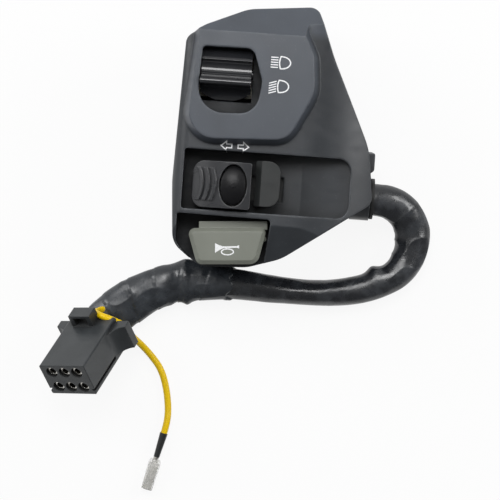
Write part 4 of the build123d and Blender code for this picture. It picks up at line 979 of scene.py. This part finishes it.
@dataclass
class YellowWire:
    """Single yellow wire of the horn, from the sleeve's end to the bullet's crimp."""

    route: Route = Route(
        "yellow_wire_skin",
        (
            (-45.4, -65.8, -12.4),
            (-47.53, -66.44, -13.0),
            (-51.12, -67.64, -11.42),
            (-52.6, -68.35, -7.56),
            (-50.74, -69.08, -3.68),
            (-46.41, -70.2, -2.46),
            (-42.4, -71.99, -5.41),
            (-40.59, -75.19, -10.68),
            (-37.6, -77.8, -14.6),
            (-34.2, -81.2, -16.9),
            (-30.4, -85.6, -16.9),
            (-28.2, -91.6, -16.9),
            (-27.0, -98.6, -16.9),
            (-27.11, -103.39, -15.9),
            (-27.9, -106.7, -15.9),
        ),
    )
    radius: float = 1.1
    declared_length: float = 0.065

    def build(self, finish: Material) -> Piece:
        """Builds and dresses the wire.

        Args:
            finish: Finish of its skin.

        Returns:
            The wire.
        """
        wire = self.route.curve(self.radius, 16)
        wire.data.materials.append(finish)
        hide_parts("yellow_wire")
        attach(wire, Body.HOUSING.value)
        log.info("yellow wire: %.1f mm of line", Centreline(self.route.line()).length)
        return wire

    def declare(self, wire: Piece, others: list[Piece]) -> None:
        """Args:
            wire: The wire; not used.
            others: The pieces that go with it; not used.
        """


@dataclass(frozen=True)
class ReturnSpring:
    """Coil spring under a button, built at one length; the real one closes up as the button goes down."""

    node: str
    joint: str
    body: Body
    centre: tuple[float, float]
    low: float
    high: float
    travel: float
    turns: int
    coil_radius: float
    wire_radius: float = 0.3
    closed_turns: float = 0.75
    steps: int = 40
    sides: int = 12

    def build(self, finish: Material) -> Piece:
        """Builds and dresses the spring.

        Its line is a helix whose first and last turns lie close and whose
        middle rises evenly. A round wire is carried along it.

        Args:
            finish: Finish of the wire.

        Returns:
            The spring.
        """
        turn = np.linspace(0, self.turns, self.turns * self.steps + 1)
        span = self.high - self.low - 2 * self.wire_radius
        shut = self.closed_turns * 2 * self.wire_radius
        stops = (0, self.closed_turns, self.turns - self.closed_turns, self.turns)
        rise = self.low + self.wire_radius + np.interp(turn, stops, (0, shut, span - shut, span))
        angle = 2 * np.pi * turn
        x = self.centre[0] + self.coil_radius * np.cos(angle)
        y = self.centre[1] + self.coil_radius * np.sin(angle)
        line = np.stack([x, y, rise], -1)
        side, up = sides_of(unit(np.gradient(line, axis=0)))
        around = np.linspace(0, 2 * np.pi, self.sides, endpoint=False)
        ring = np.cos(around)[:, None] * side[:, None, :] + np.sin(around)[:, None] * up[:, None, :]
        spring = closed_tube(f"{self.node}_wire", line[:, None, :] + self.wire_radius * ring)
        spring.data.materials.append(finish)
        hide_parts(self.node)
        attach(spring, self.body.value)
        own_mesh(spring)
        return spring


RETURN_SPRINGS = (
    ReturnSpring(
        "cancel_spring",
        "cancel_push",
        Body.TURN,
        centre=(-10.44, -25.40),
        low=21.0,
        high=24.4,
        travel=1.5,
        turns=3,
        coil_radius=2.6,
    ),
    ReturnSpring(
        "horn_spring",
        "horn_push",
        Body.HOUSING,
        centre=(-11.0, -44.0),
        low=4.2,
        high=13.0,
        travel=2.5,
        turns=5,
        coil_radius=2.4,
    ),
)


@dataclass
class Stroke:
    """A line of ink of one width through points on the face, in millimetres."""

    points: np.ndarray
    width: float
    closed: bool = False
    rows: int = 4
    least_lean: float = 0.45

    def strip(self) -> tuple[np.ndarray, np.ndarray]:
        """Points and faces of the line.

        Each point goes out to both sides along the mean of the normals of its
        two runs, lengthened at a corner so that the line keeps its width.

        Returns:
            Points as n by 2, and the corner numbers of each face.
        """
        places = self.points
        after = np.roll(places, -1, 0) - places
        before = places - np.roll(places, 1, 0)
        if not self.closed:
            after[-1], before[0] = before[-1], after[0]
        after, before = unit(after), unit(before)
        square = unit(np.stack([-(after + before)[:, 1], (after + before)[:, 0]], -1))
        lean = np.clip(np.sum(square * np.stack([-after[:, 1], after[:, 0]], -1), 1), self.least_lean, 1)
        away = square * (self.width / 2 / lean)[:, None]
        grid = places[None] + away[None] * np.linspace(1, -1, self.rows)[:, None, None]
        return grid.reshape(-1, 2), grid_faces(self.rows, len(places), self.closed)


def denser(points: list[tuple[float, float]], pitch: float, closed: bool) -> np.ndarray:
    """Points of straight runs, set close enough to follow a curved face.

    Args:
        points: Corners of the runs.
        pitch: Largest distance between two points.
        closed: Whether the last corner joins the first.

    Returns:
        Points as n by 2.
    """
    places = np.array(points + points[:1] if closed else points, float)
    runs = []
    for start, end in zip(places, places[1:]):
        count = max(1, int(np.ceil(np.linalg.norm(end - start) / pitch)))
        runs.append(start + (end - start) * np.linspace(0, 1, count, endpoint=False)[:, None])
    if not closed:
        runs.append(places[-1:])
    return np.concatenate(runs)


class Legend(Enum):
    """Printed signs on the cluster."""

    HIGH_BEAM = "sign_high_beam"
    LOW_BEAM = "sign_low_beam"
    LEFT_ARROW = "sign_left_arrow"
    RIGHT_ARROW = "sign_right_arrow"
    HORN = "sign_horn"


@dataclass
class PrintedSigns:
    """Thin printed signs, drawn flat and laid down on the face under them."""

    line_width: float = 0.40
    lamp_height: float = 3.7
    lamp_depth: float = 3.0
    beam_width: float = 0.34
    arrow_length: float = 3.3
    arrow_height: float = 2.6
    horn_turn: float = 4.0
    ink_height: float = 0.03
    outline_width: float = 0.36
    shaft_share: float = 0.42
    beam_spread: float = 0.41
    beam_ends: tuple[float, float] = (-0.75, -3.0)
    low_beam_fall: float = 0.75
    drop_from: float = 40.0
    places: dict[Legend, tuple[float, float]] = field(
        default_factory=lambda: {
            Legend.HIGH_BEAM: (1.5, 12.9),
            Legend.LOW_BEAM: (1.4, 5.65),
            Legend.LEFT_ARROW: (-13.3, -13.3),
            Legend.RIGHT_ARROW: (-8.1, -13.3),
            Legend.HORN: (-10.9, -45.0),
        }
    )

    def lamp(self) -> Stroke:
        """Outline of a lamp: a bowed back and a nose that is half a squared ellipse.

        Returns:
            The closed outline.
        """
        half = self.lamp_height / 2
        turn = np.linspace(-np.pi / 2, np.pi / 2, 33)
        nose = np.stack([self.lamp_depth * np.cos(turn) ** 0.85, half * np.sin(turn)], -1)
        rise = np.linspace(1, -1, 12)[1:-1]
        back = np.stack([-0.35 * (1 - rise**2), half * rise], -1)
        return Stroke(np.concatenate([nose, back]), self.line_width, True)

    def beams(self, fall: float) -> list[Stroke]:
        """Five lines before the lamp.

        Args:
            fall: How far each falls to its far end.

        Returns:
            The lines.
        """
        near, far = self.beam_ends
        levels = np.linspace(-1, 1, 5) * self.lamp_height * self.beam_spread
        ends = [[(near, level), (far, level - fall)] for level in levels]
        return [Stroke(denser(pair, 0.6, False), self.beam_width) for pair in ends]

    def arrow(self, way: int) -> Stroke:
        """Outline of a block arrow.

        Args:
            way: -1 to point left, 1 to point right.

        Returns:
            The closed outline.
        """
        tip, half = self.arrow_length / 2, self.arrow_height / 2
        shaft = half * self.shaft_share
        upper = [(tip, 0.0), (0.0, half), (0.0, shaft), (-tip, shaft)]
        corners = upper + [(x, -y) for x, y in upper[:0:-1]]
        turned = [(way * x, y) for x, y in corners]
        return Stroke(denser(turned if way > 0 else turned[::-1], 0.5, True), self.outline_width, True)

    def horn(self) -> list[tuple[np.ndarray, np.ndarray]]:
        """A hunting horn: its flare, its tube, its mouthpiece and the ring of its coil.

        The flare, the tube and the mouthpiece are one filled band whose half
        height goes evenly between a few values along it. The ring is an
        ellipse that just clears the tube, so no ink lies on ink.

        Returns:
            Points and faces of the band and of the ring.
        """
        half_length = 3.7
        along = np.linspace(-half_length, half_length, 30)
        middle = np.interp(along, (-half_length, -1.2, half_length), (0.42, 0.62, 0.78))
        stops = (-half_length, -2.6, -1.2, 2.9, half_length)
        half = np.interp(along, stops, (1.5, 0.85, 0.3, 0.24, 0.52))
        share = np.linspace(1, -1, 7)
        band = np.stack(np.broadcast_arrays(along[:, None], middle[:, None] + half[:, None] * share), -1)
        turn = np.linspace(0, 2 * np.pi, 48, endpoint=False)
        ring = np.stack([0.1 + 1.85 * np.cos(turn), -0.78 + 0.9 * np.sin(turn)], -1)
        filled = band.reshape(-1, 2), grid_faces(len(along), len(share), False)
        return [filled, Stroke(ring, self.outline_width, True).strip()]

    def lay(
        self,
        sign: Legend,
        patches: list[tuple[np.ndarray, np.ndarray]],
        target: str,
        body: Body,
        finish: Material,
        turn: float = 0.0,
    ) -> None:
        """Lays a sign down on a CAD node and dresses it.

        Args:
            sign: Which sign it is.
            patches: Points and faces of its patches of ink, round the sign's own middle.
            target: CAD node that carries it.
            body: Body that it rides on.
            finish: Finish of the ink.
            turn: How far it is turned to the left, in degrees.
        """
        grids, faces, count = [], [], 0
        for points, corners in patches:
            first, second, third = (points[corners[:, k]] for k in range(3))
            run, rise = second - first, third - first
            under = run[:, 0] * rise[:, 1] - run[:, 1] * rise[:, 0] < 0
            corners = np.where(under[:, None], corners[:, ::-1], corners)
            grids.append(points)
            faces.append(corners + count)
            count += len(points)
        flat = np.concatenate(grids)
        angle = np.radians(turn)
        spin = np.array([[np.cos(angle), np.sin(angle)], [-np.sin(angle), np.cos(angle)]])
        flat = flat @ spin + np.array(self.places[sign])
        points = np.concatenate([flat, np.full((len(flat), 1), self.drop_from)], 1)
        loose = put_mesh(sign.value, points, np.concatenate(faces).tolist())
        fall = loose.modifiers.new("lay_down", "SHRINKWRAP")
        fall.wrap_method = "PROJECT"
        fall.use_project_z = True
        fall.use_project_x = fall.use_project_y = False
        fall.use_negative_direction = True
        fall.use_positive_direction = False
        fall.wrap_mode = "ABOVE_SURFACE"
        fall.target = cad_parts[target]
        fall.offset = self.ink_height * MM
        bpy.context.view_layer.update()
        graph = bpy.context.evaluated_depsgraph_get()
        laid = bpy.data.meshes.new_from_object(loose.evaluated_get(graph))
        loose.modifiers.clear()
        loose.data = laid
        laid.name = sign.value
        laid.materials.clear()
        laid.materials.append(finish)
        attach(loose, body.value)
        heights = np.empty(len(laid.vertices) * 3)
        laid.vertices.foreach_get("co", heights)
        log.info("%s: %d points, top %.2f mm", sign.value, len(laid.vertices), heights[2::3].max() / MM)

    def build(self, finish: Material) -> None:
        """Draws and lays down all five signs.

        Args:
            finish: Finish of the ink.
        """
        face, housing = "rear_housing", Body.HOUSING
        lined = {
            Legend.HIGH_BEAM: [self.lamp(), *self.beams(0.0)],
            Legend.LOW_BEAM: [self.lamp(), *self.beams(self.low_beam_fall)],
            Legend.LEFT_ARROW: [self.arrow(-1)],
            Legend.RIGHT_ARROW: [self.arrow(1)],
        }
        for sign, strokes in lined.items():
            self.lay(sign, [stroke.strip() for stroke in strokes], face, housing, finish)
        self.lay(Legend.HORN, self.horn(), "horn_button", Body.HORN, finish, self.horn_turn)


@dataclass
class FinishRack:
    """Every finish of the cluster, built once, and the CAD nodes that wear it."""

    worn_by: dict[object, tuple[str, ...]] = field(
        default_factory=lambda: {
            MouldedPlastic(
                "housing_plastic_skin",
                shade(44, 47, 51),
                0.36,
                grain_depth=0.012,
                dust_share=0.06,
                edge_radius=0.8,
                # Rims lightened: partly wear, partly a painted highlight.
                rub_and_highlight=shade(112, 116, 121),
                rub_and_highlight_share=0.7,
                # Painted light on the plateau and its top facet.
                painted_top_light=shade(66, 71, 79),
                # Painted shade in the housing's hollows.
                hollow_shade_share=0.75,
            ): ("rear_housing", "front_housing"),
            MouldedPlastic(
                "gloss_black_skin",
                shade(34, 35, 38),
                0.16,
                grain_size=1.8,
                grain_depth=0.012,
                rub_and_highlight_share=0.3,
                coat=0.5,
            ): ("dimmer_knob",),
            MouldedPlastic(
                "satin_black_skin",
                shade(38, 39, 42),
                0.30,
                grain_size=1.2,
                grain_depth=0.02,
                # Rims lightened: partly wear, partly a painted highlight.
                rub_and_highlight=shade(120, 122, 124),
                rub_and_highlight_share=0.6,
                edge_radius=0.4,
            ): ("turn_knob",),
            MouldedPlastic("button_black_skin", shade(20, 20, 22), 0.34, grain_size=0.8, gloss=0.2): (
                "cancel_button",
            ),
            MouldedPlastic("matt_black_skin", shade(40, 42, 42), 0.36, gloss=0.4): (
                "turn_lug",
                # turn_carrier is natural acetal; it wears black here as painted shade in the gap beside the
                # lug.
                "turn_carrier",
                "bullet_crimp",
            ),
            MouldedPlastic(
                "grey_plastic_skin",
                shade(116, 119, 110),
                0.42,
                rub_and_highlight=shade(158, 160, 150),
                rub_and_highlight_share=0.7,
                cloud=0.04,
                edge_radius=0.4,
            ): ("horn_button",),
            MouldedPlastic(
                "plug_nylon_skin",
                shade(50, 53, 55),
                0.34,
                gloss=0.4,
                edge_radius=0.5,
                rub_and_highlight_share=0.5,
                # Painted shade in the plug's hollows and rear.
                hollow_shade_share=0.95,
                hollow_reach=5.0,
            ): ("connector_housing",),
            MouldedPlastic(
                "inner_plastic_skin",
                shade(226, 222, 208),
                0.40,
                rub_and_highlight=shade(236, 233, 222),
            ): ("dimmer_base",),
            MouldedPlastic(
                "contact_board_skin",
                shade(120, 78, 44),
                0.5,
                cloud=0.22,
                rub_and_highlight=shade(150, 108, 70),
            ): ("dimmer_contact_plate", "turn_base_plate", "horn_base_plate"),
            MouldedPlastic("rubber_skin", shade(32, 32, 32), 0.6, rub_and_highlight_share=0.15): ("harness_grommet",),
            PlatedMetal("steel_skin", shade(196, 196, 192), shade(150, 148, 142)): (
                "case_screws",
                "plate_screws",
                "dimmer_pin",
                "dimmer_leaf",
                "turn_detent_ball",
                "turn_detent_spring",
                "cancel_clip",
            ),
            PlatedMetal("brass_skin", shade(214, 186, 120), shade(150, 116, 66)): (
                "dimmer_wiper",
                "dimmer_contacts",
                "turn_wiper",
                "turn_contacts",
                "horn_bridge",
                "horn_contacts",
            ),
            PlatedMetal("tinned_skin", shade(214, 212, 206), shade(160, 156, 148), 0.22): (
                "socket_terminals",
                "bullet_terminal",
            ),
            SoftVinyl("inner_lead_skin", shade(70, 96, 140)): ("inner_leads",),
            ClearVinyl(): ("bullet_sleeve",),
        }
    )

    def dress_nodes(self) -> None:
        """Gives each CAD node named in the rack its finish in its own material slots."""
        count = 0
        for finish, names in self.worn_by.items():
            skin = finish.material()
            for name in names:
                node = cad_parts[name]
                if not node.material_slots:
                    node.data.materials.append(skin)
                for place in node.material_slots:
                    place.material = skin
                count += 1
        log.info("dressed %d CAD nodes", count)


@dataclass(frozen=True)
class Lamp:
    """A square soft lamp, with its place and its side in millimetres and its power in watts."""

    name: str
    place: Triple
    side: float
    power: float


@dataclass
class Studio:
    """Pale floor, soft lamps, an even pale world and the camera."""

    camera_place: Triple = (-3.87, -44.71, 620.0)
    camera_turn: float = 4.0
    field_width: float = 155.0
    field_distance: float = 600.0
    sensor: float = 36.0
    floor_half: float = 2600.0
    floor_gap: float = 0.02
    floor_white_share: float = 0.90
    sky_lean: Triple = (-0.45, 0.85, -0.25)
    sky_range: tuple[float, float] = (-0.7, 0.9)
    sky_strength: tuple[float, float] = (0.22, 1.05)
    lamps: tuple[Lamp, ...] = (
        Lamp("top_lamp", (-50.0, 240.0, 590.0), 280.0, 1.75),
        Lamp("left_lamp", (-420.0, 160.0, 300.0), 240.0, 0.8),
        Lamp("right_lamp", (430.0, 130.0, 300.0), 220.0, 1.05),
    )
    lamp_aim: Triple = (0.0, -20.0, 0.0)

    def floor(self) -> None:
        """Lays a pale floor that shows white and keeps the object's shadow."""
        half = self.floor_half
        corners = np.array([(-half, -half), (half, -half), (half, half), (-half, half)])
        level = np.full((4, 1), FLOOR_LEVEL - self.floor_gap)
        made = put_mesh("studio_floor", np.concatenate([corners, level], 1), [(0, 1, 2, 3)], False)
        sheet = NodeSheet.of_material("studio_floor_skin")
        matt = sheet.node("ShaderNodeBsdfDiffuse", {"Color": (0.82, 0.82, 0.82, 1.0)}).outputs[0]
        white = sheet.node("ShaderNodeEmission", {"Color": (1.0, 1.0, 1.0, 1.0), "Strength": 1.0}).outputs[0]
        rays = sheet.node("ShaderNodeLightPath").outputs
        through = sheet.join("MAXIMUM", rays["Is Glossy Ray"], rays["Is Transmission Ray"])
        seen = sheet.join("MAXIMUM", rays["Is Camera Ray"], through)
        share = sheet.join("MULTIPLY", seen, self.floor_white_share)
        made.data.materials.append(sheet.close("ShaderNodeMixShader", {0: share, 1: matt, 2: white}))

    def world(self) -> None:
        """Sets a pale world: white where the camera sees it, and as a light brightest behind the top edge.

        Its strength follows a sum of the way's parts: it rises towards +Y and
        -X, and is lower overhead and on the rider's side.
        """
        world = bpy.data.worlds.new("studio_world")
        bpy.context.scene.world = world
        sheet = NodeSheet(world)
        ways = {0: sheet.places["Generated"], 1: self.sky_lean}
        lean = sheet.node("ShaderNodeVectorMath", ways, operation="DOT_PRODUCT").outputs["Value"]
        light = sheet.ramp(lean, *self.sky_range, *self.sky_strength)
        rays = sheet.node("ShaderNodeLightPath").outputs
        seen = sheet.join("MAXIMUM", rays["Is Camera Ray"], rays["Is Transmission Ray"])
        strength = sheet.node("ShaderNodeMix", {0: seen, 2: light, 3: 1.0}).outputs[0]
        sheet.close("ShaderNodeBackground", {"Strength": strength})

    def hang(self, lamp: Lamp) -> None:
        """Hangs a lamp that faces the middle of the cluster.

        Args:
            lamp: The lamp.
        """
        data = bpy.data.lights.new(lamp.name, "AREA")
        data.size = lamp.side * MM
        data.energy = lamp.power
        made = linked(lamp.name, data)
        made.location = [x * MM for x in lamp.place]
        east, north, up = (b - a for a, b in zip(lamp.place, self.lamp_aim))
        tilt = float(np.arctan2(np.hypot(east, north), -up))
        made.rotation_euler = (tilt, 0.0, float(np.arctan2(-east, north)))

    def camera(self) -> None:
        """Sets the camera straight above the cluster, turned as in the photograph."""
        data = bpy.data.cameras.new("studio_camera")
        data.sensor_width = self.sensor
        data.lens = self.sensor * self.field_distance / self.field_width
        data.clip_end = 20.0
        made = linked("studio_camera", data)
        made.location = [x * MM for x in self.camera_place]
        made.rotation_euler = (0.0, 0.0, float(np.radians(self.camera_turn)))
        bpy.context.scene.camera = made

    def build(self) -> None:
        """Builds the whole studio."""
        bpy.context.scene.view_settings.view_transform = "Standard"
        self.floor()
        self.world()
        for lamp in self.lamps:
            self.hang(lamp)
        self.camera()
        log.info("studio set")


SLEEVE_FINISH = SoftVinyl(
    "sleeve_vinyl_skin",
    shade(30, 32, 36),
    roughness=0.24,
    # Lighter patches, partly painted sheen on the sleeve.
    bloom_and_sheen=shade(92, 96, 101),
    bloom_and_sheen_share=0.4,
    gloss=0.75,
)
TAPE_FINISH = SoftVinyl(
    "tape_skin",
    shade(38, 42, 47),
    roughness=0.25,
    crease_size=3.0,
    crease_depth=0.04,
    # Lighter patches, partly painted sheen on the tape.
    bloom_and_sheen=shade(88, 93, 99),
    bloom_and_sheen_share=0.4,
    gloss=0.65,
)
YELLOW_FINISH = SoftVinyl(
    "yellow_wire_finish",
    shade(232, 194, 2),
    roughness=0.3,
    crease_size=3.0,
    crease_depth=0.006,
    bloom_and_sheen=shade(222, 182, 2),
    bloom_and_sheen_share=0.4,
    gloss=0.3,
    grain_depth=0.001,
)
SPRING_FINISH = PlatedMetal("spring_wire_skin", shade(190, 190, 188), shade(146, 144, 138))
LEAD_COLOURS = {
    "brown": shade(96, 56, 34),
    "orange": shade(206, 110, 38),
    "green": shade(40, 104, 62),
    "black": shade(28, 28, 30),
    "white": shade(206, 206, 202),
    "blue": shade(44, 106, 180),
}


def main() -> None:
    """Builds the cords first, then the finishes, the signs and the studio."""
    logging.basicConfig(level=logging.INFO, format="%(message)s")
    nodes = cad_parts
    harness, wire = HarnessSleeve(), YellowWire()
    sleeve, tape = harness.build(SLEEVE_FINISH.material(), TAPE_FINISH.material())
    lead_finishes = {
        name: SoftVinyl(f"lead_{name}_skin", colour, 0.32, 1.4, 0.02, bloom_and_sheen=colour).material()
        for name, colour in LEAD_COLOURS.items()
    }
    leads = PlugLeads().build(lead_finishes)
    yellow = wire.build(YELLOW_FINISH.material())
    harness.declare(sleeve, [tape, *leads, nodes["connector_housing"], nodes["socket_terminals"]])
    wire.declare(yellow, [nodes["bullet_crimp"], nodes["bullet_terminal"], nodes["bullet_sleeve"]])
    FinishRack().dress_nodes()
    spring_finish = SPRING_FINISH.material()
    for spring in RETURN_SPRINGS:
        spring.build(spring_finish)
    PrintedSigns().build(PrintedInk().material())
    Studio().build()


if __name__ == "__main__":
    main()
